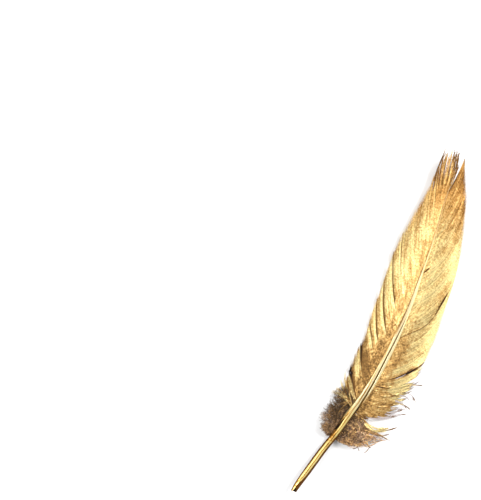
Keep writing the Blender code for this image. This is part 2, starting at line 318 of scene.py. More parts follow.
def gold_paint_group():
    """Colour, roughness, metal share and relief of gold paint over a natural ground."""
    group = bpy.data.node_groups.new("Gold paint", "ShaderNodeTree")
    for name, kind, value in PAINT_INPUTS:
        add_socket(group, name, kind, value)
    for name, kind in PAINT_OUTPUTS:
        add_socket(group, name, kind, output=True)
    n = Nodes(group)
    inputs = n.add("NodeGroupInput").outputs
    outputs = n.add("NodeGroupOutput").inputs
    patch_scale = n.math("DIVIDE", 1.0 / MM, inputs["Patch Size"])
    grain_scale = n.math("DIVIDE", 1.0 / MM, inputs["Grain Size"])
    # the pattern: wide patches, specks, strands along the barbs and the grain of the flakes
    patches = n.noise(inputs["Patch Vector"], patch_scale, 3.0, 0.6)
    specks = n.noise(inputs["Vector"], n.math("MULTIPLY", grain_scale, 0.95), 2.0, 0.6)
    strands = n.noise(inputs["Patch Vector"], n.math("MULTIPLY", patch_scale, 9.0), 2.0, 0.6)
    mottle = n.math("ADD", n.math("MULTIPLY", specks, 0.5), n.math("MULTIPLY", strands, 0.5))
    grain = n.noise(inputs["Vector"], grain_scale, 2.0, 0.75)
    # the thickness: what the piece asks for, made uneven
    dots = n.swing(mottle, n.math("MULTIPLY", inputs["Mottle"], 4.6))
    cover = n.math("ADD", inputs["Cover"], n.math("ADD", n.swing(patches, 1.1), dots))
    thick = n.ramp(cover, THICK_FROM, THICK_TO)
    painted = n.ramp(cover, 0.0, HIDES_GROUND)
    # the colours: pale or deep gold with its flakes, over a streaky ground
    gold = n.mix(thick, inputs["Deep Gold"], inputs["Pale Gold"])
    flakes = n.mix(n.ramp(grain, 0.36, 0.64), DULL_FLAKES, BRIGHT_FLAKES)
    gold = n.mix(inputs["Grain"], gold, n.tint(gold, flakes))
    streaky = n.tint(inputs["Ground"], n.ramp(mottle, 0.36, 0.64, 0.6, 1.5))
    n.put(n.mix(painted, streaky, gold), outputs["Color"])
    # the shine and the relief
    smooth = n.math("ADD", n.math("MULTIPLY", thick, THICK_GLOSS), inputs["Gloss"])
    rough = n.ramp(painted, 0.0, 1.0, BARE_ROUGHNESS, PAINTED_ROUGHNESS)
    n.put(n.math("SUBTRACT", rough, smooth), outputs["Roughness"])
    n.put(n.math("MULTIPLY", painted, METAL_SHARE), outputs["Metal"])
    relief = n.math("ADD", n.math("MULTIPLY", grain, 0.6), n.math("MULTIPLY", specks, 0.4))
    n.put(relief, outputs["Height"])
    return group


GOLD_PAINT = gold_paint_group()
print("gold paint has", len(PAINT_INPUTS), "inputs and", len(GOLD_PAINT.nodes), "nodes")

# %% [markdown]
# ## A gold-painted material
#
# The quill, the barbs and the down share the paint, but each has its own wear. So one function makes a
# material of the paint's group and one shader, and is handed a second function that adds what is
# special to the piece. Written out one by one, the three materials would repeat the same ten links.

# %% Material with gold paint and its own wear
RELIEF_DEPTH = 0.06             # height of the grain's relief, in mm


def painted_material(name, paint, wear, bump=0.3, shine=0.5):
    """A gold-painted material. paint sets the group's inputs. wear is the function that adds what is
    special to the piece, and it gives the colour."""
    material = bpy.data.materials.new(name)
    material.use_nodes = True
    n = Nodes(material.node_tree)
    place = n.add("ShaderNodeTexCoord").outputs["Object"]
    group = n.add("ShaderNodeGroup", node_tree=GOLD_PAINT)
    n.feed(group, Vector=place, Patch_Vector=place)
    for socket, value in paint.items():
        n.put(value, group.inputs[socket])
    relief = n.add("ShaderNodeBump")
    n.feed(relief, Strength=bump, Distance=RELIEF_DEPTH * MM, Height=group.outputs["Height"])
    shader = n.add("ShaderNodeBsdfPrincipled")
    n.feed(shader, Base_Color=wear(n, place, group), Roughness=group.outputs["Roughness"],
           Metallic=group.outputs["Metal"], Specular_IOR_Level=shine, Normal=relief.outputs[0])
    n.put(shader.outputs[0], n.add("ShaderNodeOutputMaterial").inputs["Surface"])
    return material


def paint_crevice_shade(n, colour, brown, black):
    """Painted shade and shadow: a colour that turns brown towards a crevice and nearly black in its depth."""
    crevice = n.attribute("crevice")
    return n.mix(n.ramp(crevice, 0.7, 1.0), n.mix(n.ramp(crevice, 0.0, 0.7), colour, brown), black)


print("the paint's grain stands", RELIEF_DEPTH, "mm high")

# %% [markdown]
# ## Finish of the vanes
#
# Each barb took the spray at its own slant, so each has its own tone. The valleys between barbs are
# darkened, which is painted shade, and crevices between locks are painted nearly black, which is
# painted shadow. Barbs that stood outside the spray keep their pale natural grey. Where all this lies is
# known when the barbs are drawn, so it is stored on their points as numbers, and the finish reads them
# back as attributes.

# %% Finish of the vanes
ORANGE_TINGE = (1.0, 0.84, 0.66, 1)
NATURAL_GREY = (0.40, 0.345, 0.335, 1)
# crevice colours: brown where the paint is thin and shade is painted, nearly black as painted shadow
VANE_BARE_AND_SHADE_BROWN, VANE_SHADOW_BLACK = (0.15, 0.072, 0.020, 1), (0.012, 0.006, 0.004, 1)


def vane_wear(n, place, group):
    """Own tones, valleys darkened as painted shade, an orange tinge, bare grey barbs, and crevices darkened
    as painted shade and shadow.
    """
    # crevices lose their paint, and further down they are darkened as painted shade
    bare = n.math("ADD", n.math("MULTIPLY", n.attribute("crevice"), 1.6), n.attribute("natural"))
    mottle = n.ramp(n.part(place, "Y"), -20.0 * MM, 5.0 * MM, 0.50, 0.46)
    along_barb = n.vector(X=n.math("MULTIPLY", n.attribute("run"), 0.45), Y=n.attribute("row"))
    cover = n.math("SUBTRACT", n.attribute("cover"), bare)
    n.feed(group, Cover=cover, Mottle=mottle, Patch_Vector=along_barb)
    barb = n.ramp(n.attribute("barb_tone"), 0.0, 1.0, 0.78, 1.12)
    # painted shade: each barb is darker towards its sides, in the valleys between barbs
    valley_shade = n.ramp(n.attribute("across"), 0.2, 1.0, 1.04, 0.74)
    colour = n.tint(group.outputs["Color"], n.math("MULTIPLY", barb, valley_shade))
    colour = n.mix(n.attribute("warm"), colour, n.tint(colour, ORANGE_TINGE))
    colour = n.mix(n.attribute("natural"), colour, NATURAL_GREY)
    # painted shade and painted shadow: crevices turn brown and nearly black
    return paint_crevice_shade(n, colour, VANE_BARE_AND_SHADE_BROWN, VANE_SHADOW_BLACK)


VANE_FINISH = painted_material(
    "gold_vane",
    {"Ground": (0.20, 0.105, 0.030, 1), "Deep Gold": (0.55, 0.35, 0.13, 1),
     "Pale Gold": (0.925, 0.78, 0.395, 1), "Patch Size": 4.5, "Grain Size": 0.7, "Grain": 0.60},
    vane_wear, shine=0.15)
print(VANE_FINISH.name, "has", len(VANE_FINISH.node_tree.nodes), "nodes")

# %% [markdown]
# ## Lines to barbs
#
# A barb is a thin blade with a ridge along its middle and a web of hooked barbules on both sides,
# which overlaps the next barb's. A Geometry Nodes tree sweeps that ridged outline along each line. The
# line's own half width sets the barb's size and its roll leans the blade, so that it lies in the
# sheet. The outline has four sides: three barbs stand in a millimetre, so more would be wasted.

# %% Geometry Nodes: sweep a ridged outline along lines
def new_geometry_tree(name):
    """A tree for a modifier: a mesh goes in and a mesh comes out."""
    tree = bpy.data.node_groups.new(name, "GeometryNodeTree")
    tree.is_modifier = True
    add_socket(tree, "Geometry", "NodeSocketGeometry")
    add_socket(tree, "Geometry", "NodeSocketGeometry", output=True)
    return tree


def named(n, name):
    """A number stored on the points of the lines."""
    return n.feed(n.add("GeometryNodeInputNamedAttribute"), Name=name).outputs["Attribute"]


def ridged_outline(n, sides, ridge, keel):
    """Adds the nodes of the outline. It keeps how far each point lies from its middle as across."""
    circle = n.feed(n.add("GeometryNodeCurvePrimitiveCircle"), Resolution=sides, Radius=1.0)
    spot = n.add("GeometryNodeInputPosition").outputs[0]
    x, y = n.part(spot, "X"), n.part(spot, "Y")
    is_under = n.math("GREATER_THAN", y, 0.0)       # a sweep turns the outline's Y down
    height = n.math("ADD", ridge, n.math("MULTIPLY", is_under, n.math("SUBTRACT", keel, ridge)))
    place = n.vector(X=x, Y=n.math("MULTIPLY", y, height))
    shaped = n.feed(n.add("GeometryNodeSetPosition"), Geometry=circle.outputs[0], Position=place)
    across = n.add("GeometryNodeStoreNamedAttribute", data_type="FLOAT", domain="POINT")
    n.feed(across, Geometry=shaped.outputs[0], Name="across", Value=n.math("ABSOLUTE", x))
    return across.outputs[0]


def ridged_sweep(n, lines, sides, ridge, keel):
    """Adds the nodes that sweep a ridged outline along lines, and gives the curves and their mesh."""
    curve = n.feed(n.add("GeometryNodeMeshToCurve"), Mesh=lines)
    level = n.feed(n.add("GeometryNodeSetCurveNormal", mode="Z_UP"), Curve=curve.outputs[0])
    rolled = n.feed(n.add("GeometryNodeSetCurveTilt"), Curve=level.outputs[0], Tilt=named(n, "roll"))
    swept = n.feed(n.add("GeometryNodeCurveToMesh"), Curve=rolled.outputs[0], Fill_Caps=True,
                   Profile_Curve=ridged_outline(n, sides, ridge, keel), Scale=named(n, "half_width"))
    return rolled.outputs[0], swept.outputs[0]


print("each line carries its roll and half_width, and its barb keeps across")

# %% [markdown]
# ## The barbs' tree
#
# The nodes above serve two trees. The first has nothing else to do: it sweeps the barbs, with named
# inputs for the number of sides and the heights of ridge and keel. Every tree ends in the same three
# steps: smooth shading, instances made real, and the material.

# %% Geometry Nodes: barbs on lines
def finish_tree(n, mesh, material):
    """Adds the nodes that every tree ends with."""
    smooth = n.feed(n.add("GeometryNodeSetShadeSmooth"), Geometry=mesh)
    real = n.feed(n.add("GeometryNodeRealizeInstances"), Geometry=smooth.outputs[0])
    painted = n.feed(n.add("GeometryNodeSetMaterial"), Geometry=real.outputs[0], Material=material)
    n.put(painted.outputs[0], n.add("NodeGroupOutput").inputs[0])


def barb_tree():
    """Barbs: a ridged outline along each line."""
    tree = new_geometry_tree("Barbs on lines")
    add_socket(tree, "Sides", "NodeSocketInt", 4)
    add_socket(tree, "Ridge Height", "NodeSocketFloat", 0.6)
    add_socket(tree, "Keel Depth", "NodeSocketFloat", 0.3)
    add_socket(tree, "Material", "NodeSocketMaterial")
    n = Nodes(tree)
    inputs = n.add("NodeGroupInput").outputs
    sizes = (inputs[name] for name in ("Sides", "Ridge Height", "Keel Depth"))
    _, mesh = ridged_sweep(n, inputs["Geometry"], *sizes)
    finish_tree(n, mesh, inputs["Material"])
    return tree


BARB_TREE = barb_tree()
print(BARB_TREE.name, "has", len(BARB_TREE.nodes), "nodes")

# %% [markdown]
# ## Lines in, plain mesh out
#
# The lines of all barbs of a piece go into one mesh without faces, with numbers on its points for the
# tree and the finish. A modifier runs the tree on it. Its result is then kept as a plain mesh, because
# an export can't take live curves, and the piece is made to move with the feather, whose solid is
# hidden.

# %% Lines in, plain mesh out
MIDDLE = np.array([12.95, 78.24, 0.0])      # from the quill's cut end to the middle of the feather


def set_input(modifier, name, value):
    """Set a modifier's input by its socket's identifier."""
    for item in modifier.node_group.interface.items_tree:
        if item.item_type == "SOCKET" and item.in_out == "INPUT" and item.name == name:
            modifier[item.identifier] = value


def new_object(name, data):
    """An object with its data, in the scene."""
    item = bpy.data.objects.new(name, data)
    bpy.context.scene.collection.objects.link(item)
    return item


def lines_object(name, lines, values):
    """A mesh of open lines. lines is (count, points, 3) in millimetres from the quill's cut end."""
    count, points = lines.shape[:2]
    mesh = bpy.data.meshes.new(name)
    places = (lines - MIDDLE).reshape(-1, 3) * MM
    first = np.arange(count)[:, None] * points + np.arange(points - 1)[None, :]
    edges = np.stack([first, first + 1], axis=-1).reshape(-1, 2)
    mesh.vertices.add(len(places))
    mesh.vertices.foreach_set("co", places.ravel())
    mesh.edges.add(len(edges))
    mesh.edges.foreach_set("vertices", edges.ravel())
    for key, numbers in values.items():
        layer = mesh.attributes.new(key, "FLOAT", "POINT")
        layer.data.foreach_set("value", np.broadcast_to(numbers, (count, points)).astype(np.float32).ravel())
    mesh.update()
    return new_object(name, mesh)


def belong(piece):
    """The piece moves with the feather and stands in for its solid, which is hidden."""
    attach(piece, "root")
    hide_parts("feather")


def grow(name, lines, values, tree, inputs):
    """A piece of the feather: a tree is run on lines, and its result is kept as a plain mesh.

    A few hairs would dip below the ground, so what leaves the solid's box is moved back to its wall,
    and the print says how much that is.
    """
    piece = lines_object(name, lines, values)
    modifier = piece.modifiers.new(tree.name, "NODES")
    modifier.node_group = tree
    for label, value in inputs.items():
        set_input(modifier, label, value)
    graph = bpy.context.evaluated_depsgraph_get()
    made = bpy.data.meshes.new_from_object(piece.evaluated_get(graph), depsgraph=graph)
    piece.modifiers.clear()
    bare_lines, piece.data = piece.data, made
    made.name = name
    bpy.data.meshes.remove(bare_lines)
    spots = np.empty(len(made.vertices) * 3)
    made.vertices.foreach_get("co", spots)
    spots = spots.reshape(-1, 3)
    kept = np.clip(spots, solid_low, solid_high)
    made.vertices.foreach_set("co", kept.ravel())
    made.calc_loop_triangles()
    moves = np.linalg.norm(kept - spots, axis=1) / MM
    print(name, "has", len(made.loop_triangles), "triangles;", int((moves > 0).sum()), "of", len(moves),
          "points moved back into the box, by up to", round(float(moves.max()), 2), "mm")
    belong(piece)
    return piece


print("the quill's cut end lies at, mm:", [round(float(c), 2) for c in -MIDDLE])

# %% [markdown]
# ## Soft edges and smooth chance
#
# On a feather nothing starts or stops sharply, and nothing is quite even: paint thins out, a lock
# opens bit by bit, edges wander. Plain random numbers would make it look like static, so chance is
# drawn at even steps and joined smoothly. The seeds are fixed, so each run gives the same feather.

# %% Helpers: soft steps and smooth chance
def ease(value, low, high):
    """Share from 0 at low to 1 at high, with a soft start and end."""
    share = np.clip((value - low) / (high - low), 0.0, 1.0)
    return share * share * (3.0 - 2.0 * share)


def rise_and_fall(value, start, full, fade, end):
    """Share that rises from start to full and falls again from fade to end."""
    return ease(value, start, full) * (1.0 - ease(value, fade, end))


def smooth_noise(places, seed, step):
    """Values from -1 to 1 that wander smoothly along places, about one turn in two steps."""
    table = np.random.default_rng(seed).uniform(-1.0, 1.0, 1024)
    spot = np.asarray(places, float) / step + 100.0
    index = np.floor(spot).astype(int)
    share = ease(spot - index, 0.0, 1.0)
    return table[index % 1024] * (1.0 - share) + table[(index + 1) % 1024] * share


print("smooth chance:", np.round(smooth_noise(np.arange(6.0), 1, 2.0), 2))

# %% [markdown]
# ## The locks of the vanes
#
# In a vane the barbs hold together in locks of about three millimetres, and a lock parts from the next
# where the hooks have let go. Each lock could be a sheet of its own, but then its barbs would look
# drawn on. So every barb is made, and drawn in to the middle of its lock from where the gap opens.

# %% Locks and their partings
VANE_START, LOCK_PITCH, VANE_LOCKS = 41.0, 3.0, 33
VANE_END = VANE_START + LOCK_PITCH * VANE_LOCKS
# place of the parting: share of the barb where it opens, share taken, share shorter
CLOSED = (0.92, 0.05, 0.0)
FRAYED = (0.55, 0.22, 0.02)
RIGHT_PARTINGS = {
    44: (0.60, 0.12, 0.03),
    47: (0.60, 0.14, 0.03),
    50: (0.60, 0.14, 0.03),
    53: (0.60, 0.16, 0.03),
    56: (0.30, 0.12, 0.02),
    77: (0.60, 0.04, 0.0),
}
LEFT_PARTINGS = {
    41: (0.40, 0.20, 0.08),
    44: (0.55, 0.14, 0.04),
    47: (0.75, 0.20, 0.03),
    50: (0.70, 0.18, 0.02),
    59: (0.80, 0.15, 0.0),
    65: (0.80, 0.15, 0.0),
    71: (0.80, 0.18, 0.0),
    80: (0.85, 0.18, 0.0),
    116: (0.70, 0.40, 0.05),
    **{place: FRAYED for place in range(119, 138, 3)},
}


def parting_values(partings, places):
    """The values of the parting at each place, in columns."""
    rows = [partings.get(int(round(place)), CLOSED) for place in places.ravel()]
    return np.moveaxis(np.array(rows), -1, 0)[..., None]


print(VANE_LOCKS, "locks a side, with", len(RIGHT_PARTINGS), "and", len(LEFT_PARTINGS), "open partings")

# %% [markdown]
# ## Crevices between locks
#
# Where a lock doesn't part from the next, it may lie half over it: its edge stands up and catches the
# light, and beside it is a dark crevice. The raised edge throws a real shadow, and the crevice's
# darkness is painted on as well, as painted shade; on the left vane the edge's light is painted too, as
# a painted highlight. Such a crevice is one short table: where it runs, how wide and dark it is, and
# how far the edge beside it stands up.

# %% Crevices and raised edges
# each crevice: points of (share of the barb, place of the root, half width, darkness, edge's height); the
# darkness is painted shade, and near black it is painted shadow
RIGHT_CREVICES = [
    [(0.02, 75.8, 0.10, 0.4, 0.2), (0.17, 77.0, 0.12, 0.5, 0.4), (0.44, 76.8, 0.14, 0.55, 0.6),
     (0.53, 77.6, 0.16, 0.5, 0.7), (0.55, 78.3, 0.22, 0.8, 0.7), (0.60, 79.5, 0.36, 1.0, 0.7),
     (0.66, 80.5, 0.34, 1.0, 0.7), (0.73, 80.6, 0.24, 0.9, 0.6), (0.77, 80.4, 0.14, 0.3, 0.5),
     (1.0, 79.3, 0.1, 0.2, 0.4)],
    # painted shadow: the wide slit is painted black
    [(0.22, 56.3, 0.16, 0.7, 0.1), (0.32, 56.3, 0.26, 1.0, 0.3), (0.49, 56.2, 0.36, 1.0, 0.5),
     (0.64, 56.0, 0.40, 1.0, 0.6), (0.72, 55.9, 0.30, 1.0, 0.5), (0.90, 55.6, 0.22, 0.8, 0.4),
     (1.0, 55.8, 0.2, 0.6, 0.3)],
    [(0.05, 53.7, 0.14, 1.0, 0.1), (0.14, 53.4, 0.20, 1.0, 0.2), (0.36, 53.0, 0.12, 0.8, 0.1)],
    [(0.30, 50.0, 0.10, 0.3, 0.2), (0.60, 50.2, 0.16, 0.5, 0.3), (0.75, 50.4, 0.16, 0.5, 0.3)],
    [(0.35, 46.4, 0.10, 0.3, 0.2), (0.62, 46.6, 0.16, 0.5, 0.3), (0.75, 46.6, 0.16, 0.5, 0.3)],
    [(0.00, 104.7, 0.28, 1.0, 0.0), (0.04, 104.8, 0.32, 1.0, 0.0), (0.08, 105.0, 0.28, 1.0, 0.0)],
    [(0.25, 118.0, 0.10, 0.2, 0.1), (0.50, 117.6, 0.12, 0.35, 0.2), (0.8, 117.4, 0.1, 0.2, 0.1)],
    # painted shadow in the notch at the tip
    [(0.05, 140.0, 0.26, 0.9, 0.0), (0.25, 140.0, 0.42, 1.0, 0.0), (0.50, 140.0, 0.38, 0.8, 0.0),
     (0.64, 140.0, 0.2, 0.2, 0.0)],
]
LEFT_CREVICES = [
    [(0.58, 85.9, 0.16, 0.2, 0.2), (0.76, 85.9, 0.24, 0.35, 0.3), (0.95, 85.6, 0.18, 0.3, 0.2)],
    [(0.30, 80.3, 0.16, 0.4, 0.3), (0.40, 80.2, 0.30, 0.75, 0.6), (0.62, 79.7, 0.30, 0.60, 0.7),
     (0.84, 79.2, 0.30, 0.45, 0.6), (1.0, 79.1, 0.26, 0.5, 0.5)],
    [(0.20, 71.0, 0.16, 0.4, 0.3), (0.37, 70.9, 0.30, 0.85, 0.6), (0.54, 70.4, 0.30, 0.70, 0.7),
     (0.72, 69.8, 0.28, 0.55, 0.6), (0.92, 69.7, 0.26, 0.5, 0.5)],
    [(0.34, 64.3, 0.18, 0.4, 0.4), (0.48, 64.1, 0.30, 0.8, 0.6), (0.76, 63.6, 0.28, 0.6, 0.6),
     (0.95, 63.3, 0.26, 0.5, 0.5)],
    [(0.40, 60.2, 0.18, 0.2, 0.2), (0.60, 59.9, 0.24, 0.5, 0.5), (0.84, 58.1, 0.20, 0.4, 0.3)],
    [(0.50, 49.9, 0.16, 0.2, 0.4), (0.66, 49.7, 0.38, 0.9, 0.7), (1.0, 49.5, 0.44, 1.0, 0.7)],
    # painted shadow, nearly black, along the edge of the lowest left locks
    [(0.10, 44.8, 0.18, 0.55, 0.4), (0.45, 44.6, 0.35, 0.82, 0.8), (0.80, 44.0, 0.48, 1.0, 0.8),
     (1.0, 43.6, 0.50, 1.0, 0.6)],
    [(0.52, 121.6, 0.12, 0.3, 0.1), (0.70, 121.0, 0.2, 0.4, 0.2), (0.9, 120.6, 0.2, 0.3, 0.1)],
    [(0.74, 117.2, 0.25, 0.4, 0.1), (0.90, 117.4, 0.42, 0.9, 0.2), (1.0, 118.4, 0.4, 0.9, 0.2)],
    [(0.80, 123.0, 0.25, 0.5, 0.1), (1.0, 123.4, 0.34, 0.9, 0.1)],
]
EDGE_BAND = 1.5                 # width, in mm, over which a raised edge falls back into the sheet
HIDDEN_BAND = 0.45              # width, in mm, of the wider blades that close the sheet under an edge


def overlap(crevices, roots, shares, spread):
    """Darkness, which is painted shade, height change, sheet number and blade width that the crevices give
    at each point of the barbs. spread is how far apart barbs stand that grow a millimetre apart."""
    dark, lift, wide = np.zeros(spread.shape), np.zeros(spread.shape), np.ones(spread.shape)
    sheet = np.zeros(spread.shape, int)
    for points in crevices:
        share, place, half_width, darkness, height = (np.array(c) for c in zip(*points))
        begun = rise_and_fall(shares, share[0] - 0.04, share[0] + 0.06, share[-1], share[-1] + 0.05)
        past = (roots - np.interp(shares, share, place)) * spread
        width = np.interp(shares, share, half_width)
        # painted shade: darkness along each crevice
        dark = np.maximum(dark, np.interp(shares, share, darkness) * begun * np.exp(-(past / width) ** 4))
        wide += 1.6 * begun * ((past > 0) & (past < HIDDEN_BAND))
        edge = np.where(past < 0, np.clip(1.0 + past / EDGE_BAND, 0.0, 1.0) ** 2, -0.4 * np.exp(-past / 0.4))
        lift += np.interp(shares, share, height) * begun * edge
        sheet += (past > 0) & (begun > 0)
    return dark, lift, sheet, wide


print("crevices:", len(RIGHT_CREVICES), "on the right and", len(LEFT_CREVICES), "on the left")

# %% [markdown]
# ## Paint on the vanes
#
# The spray can passed in strokes, so paint lies thick in some bands and thin in others, and it thins
# out towards the foot and the tip. A few strokes are painted highlight and painted shade, as marked in
# the list. A painted mask would fix it to one picture. A table of thickness along each vane and a list
# of strokes on it are plain numbers that anyone can move.

# %% Thickness of the paint
# place along the feather, thickness of the paint on the inner part of the vanes
PAINT_LEFT = [(45, 0.34), (54, 0.14), (62, 0.14), (72, 0.31), (84, 0.60), (105, 0.61), (118, 0.62),
              (128, 0.57), (136, 0.38), (150, 0.44)]
PAINT_RIGHT = [(45, 0.35), (56, 0.42), (66, 0.36), (74, 0.49), (84, 0.70), (95, 0.83), (112, 0.77),
               (122, 0.67), (130, 0.54), (140, 0.46), (150, 0.42)]
# paint strokes: ends across and along, half width, how much more or less paint
STROKES = [
    ((14.4, 57.8), (18.4, 62.8), 1.0, 0.25),
    ((17.2, 56.6), (21.2, 60.8), 1.0, 0.25),
    ((18.4, 63.0), (24.0, 71.0), 1.3, 0.50),
    ((19.2, 54.6), (24.6, 62.6), 1.5, 0.45),
    ((16.4, 65.0), (16.4, 70.0), 1.0, -0.30),
    # painted shade beside the shaft
    ((12.3, 42.0), (12.8, 51.5), 0.6, -0.35),
    ((21.8, 49.0), (23.8, 51.2), 0.9, -0.35),
    ((21.5, 46.0), (22.5, 47.5), 0.9, 0.25),
    ((2.2, 65.6), (5.2, 73.0), 1.2, 0.45),
    # painted highlight on the pale low lock
    ((0.2, 62.0), (4.0, 54.6), 0.85, 0.62),
    ((9.2, 52.0), (9.8, 64.0), 0.7, 0.25),
    # painted shade at the base of the left vane's sheet
    ((3.8, 63.6), (6.8, 58.0), 1.3, -0.45),
    ((17.4, 122.0), (12.8, 134.0), 1.2, -0.26),
    ((12.6, 125.2), (13.6, 127.4), 0.8, -0.40),
    ((12.8, 128.6), (13.2, 134.0), 0.5, 0.30),
    ((9.0, 76.0), (8.0, 112.0), 1.7, -0.17),
    ((0.0, 104.0), (3.2, 84.0), 2.2, 0.20),
    ((21.7, 87.0), (21.3, 62.0), 1.7, 0.18),
    ((22.8, 106.0), (22.2, 95.0), 0.9, -0.45),
    ((19.0, 106.0), (19.4, 96.0), 1.2, 0.16),
    ((21.4, 53.8), (24.0, 59.5), 1.4, 0.32),
    ((13.4, 59.8), (13.6, 61.6), 0.8, 0.30),
    ((16.4, 76.0), (16.8, 72.0), 1.2, -0.25),
    ((13.6, 53.5), (13.7, 57.6), 0.7, -0.22),
    ((7.6, 61.0), (7.4, 64.5), 0.9, -0.20),
    ((13.5, 78.0), (13.6, 83.0), 0.8, 0.20),
    ((19.4, 72.5), (19.8, 77.0), 0.9, 0.25),
    ((-1.5, 106.0), (-0.5, 96.0), 1.3, 0.15),
    ((11.2, 105.0), (10.0, 115.0), 1.2, -0.15),
    ((7.2, 90.0), (7.4, 95.0), 1.2, 0.13),
    ((7.0, 84.0), (8.6, 87.0), 0.9, -0.12),
    ((4.6, 118.0), (4.4, 130.0), 1.7, 0.15),
    ((1.0, 139.0), (2.0, 145.0), 1.2, 0.28),
    ((13.6, 139.0), (14.6, 134.0), 0.8, -0.28),
    ((10.4, 139.5), (10.8, 135.5), 0.9, 0.25),
    ((8.0, 149.0), (11.0, 142.0), 1.2, -0.20),
    ((3.5, 117.0), (17.0, 117.0), 1.8, -0.13),
    ((10.0, 122.0), (14.0, 122.5), 1.6, -0.12),
    ((7.4, 125.5), (7.2, 130.0), 1.0, 0.22),
    ((16.4, 121.0), (16.0, 125.0), 0.9, 0.18),
    ((0.9, 76.5), (2.4, 71.5), 0.9, 0.35),
    ((15.6, 42.5), (17.4, 42.5), 0.8, -0.30),
]


def column(table, places):
    """Numbers between the pairs of a table, at places."""
    return np.interp(places, *zip(*table))


def stroke_paint(x, y):
    """What the strokes add to the thickness of the paint at x, y."""
    paint = np.zeros_like(x)
    for (ax, ay), (bx, by), half_width, amount in STROKES:
        run_x, run_y = bx - ax, by - ay
        share = np.clip(((x - ax) * run_x + (y - ay) * run_y) / (run_x ** 2 + run_y ** 2), 0.0, 1.0)
        away = np.hypot(x - ax - share * run_x, y - ay - share * run_y)
        paint += amount * np.exp(-(away / half_width) ** 2)
    return paint


print("strokes of the spray:", len(STROKES))

# %% [markdown]
# ## Paint on each side
#
# Some of the paint follows the barbs rather than the feather. The right vane curves up, and its outer
# half is made paler with more paint, a painted highlight. On the left the raised edges of the locks get a
# painted highlight too, and the low locks next to them are darkened, which is painted shade. Both sides
# turn a little orange towards the tip, where the paint is thin over brown barbs.

# %% Paint that follows the barbs
def right_paint(shares, y):
    """More paint on the right vane's outer half, a painted highlight, weaker over a stretch near the tip."""
    # painted highlight: the outer half of the right vane is made paler
    painted_highlight = ease(shares, 0.55, 0.90) * rise_and_fall(y, 44.0, 56.0, 114.0, 123.0)
    return 0.65 * painted_highlight * (1.0 - 0.8 * rise_and_fall(y, 92.0, 96.0, 101.0, 105.0))


def left_paint(roots, shares, lift, seed):
    """On the left vane the raised edges and one low lock are made pale, painted highlights, and the locks
    above that lock are darkened, painted shade.
    """
    # painted highlight on the raised edges
    edges = 1.1 * np.sqrt(np.clip(lift, 0.0, 1.0))
    # painted highlight on one low lock
    pale = rise_and_fall(roots, 45.0, 46.4, 47.6, 49.0) * rise_and_fall(shares, 0.3, 0.5, 0.75, 0.95)
    # painted shade on the locks above it
    painted_shade = rise_and_fall(roots, 49.4, 50.6, 54.0, 57.0) * (1.0 - ease(shares, 0.7, 0.95))
    uneven = smooth_noise(roots, seed + 9, 0.25) * (1.0 - ease(roots, 43.0, 48.0))
    return edges + 0.6 * pale - 0.35 * painted_shade + 0.5 * uneven


def vane_paint(outward, table, roots, shares, x, y, lift, seed):
    """Thickness of the paint, painted highlight and shade included, and its orange tinge, which is strongest
    near the tip.
    """
    streaks = 0.13 * smooth_noise(roots, seed + 7, 1.6) + 0.20 * smooth_noise(roots + shares, seed + 8, 0.6)
    cover = column(table, y) + streaks * ease(shares, 0.05, 0.5) + stroke_paint(x, y)
    warm = ease(y, 120.0, 142.0)
    if outward == RIGHT:
        return cover + right_paint(shares, y), warm
    rim = ease(shares, 0.70, 0.92) * rise_and_fall(y, 114.0, 122.0, 134.0, 142.0)
    return cover + left_paint(roots, shares, lift, seed) + 0.10 * rim, np.maximum(warm, 0.9 * rim)


print("more paint at the right edge, 80 mm along:", round(float(right_paint(1.0, 80.0)), 2))

# %% [markdown]
# ## How long the barbs are
#
# No two barbs end at the same place. Their ends are a little ragged along the edge, more so at the
# frayed tip and low on the vane. Low on the right, some barbs reach past the dense sheet and have let
# go of it: they stand out as pale single hairs. Cutting a smooth outline would lose all this, so each
# barb gets a length of its own.

# %% Lengths of the barbs
BARBS, BARB_POINTS = 330, 28
LET_GO_SHARE = 0.6              # share of the barbs that let go where the dense sheet ends early
# place of the root, share of the barb at which the right vane's dense sheet ends
DENSE_REACH = [(41, 0.66), (44, 0.67), (48, 0.71), (51.5, 0.73), (53, 0.78), (54.5, 0.89), (56, 1.0)]


def barb_lengths(outward, roots, ragged, random, seed):
    """Share of its guide that each barb reaches, the share at which the dense sheet ends, and whether
    the barb has let go of the sheet."""
    length = 1.0 - ragged * random.random(roots.shape) - 1.5 * ragged * random.random(roots.shape) ** 4
    length = length - ragged * (0.5 + 0.5 * smooth_noise(roots, seed + 5, 0.7))
    dense = column(DENSE_REACH, roots) if outward == RIGHT else np.ones(roots.shape)
    let_go = (dense < 0.98) * (random.random(roots.shape) < LET_GO_SHARE)
    beyond = np.minimum(dense + 0.08 + 0.18 * random.random(roots.shape), 0.95)
    return length * np.where(let_go, beyond, dense), dense, let_go


print("barbs a side:", BARBS, "or one every", round((VANE_END - VANE_START) / (BARBS - 1), 2), "mm")

# %% [markdown]
# ## How the barbs lie
#
# A vane is a shallow gutter. From the shaft's side its sheet dips to the ground and climbs again to
# the outer edge. Blades that lie flat in a climbing sheet would leave steps of light between them, so
# each blade is rolled to point at the next one on either side. Its width follows from how far away
# they are, so that the sheet stays closed.

# %% Places, widths, heights and rolls of the barbs
BUNCH = 0.9                     # barbs bunch in nicks this wide at the edge, in mm along the shaft
BLADE_SHARE = 0.78              # half width of a blade, as a share of the barbs' distance
CLOSEST = 0.07                  # barbs never stand closer than this, in mm
VANE_DIP, VANE_CLIMB = 0.18, 0.31       # shares of the barb at which the sheet is down, and climbs again
SHEET_HEIGHT = 0.22             # of the sheet's middle above the solid's back, in mm


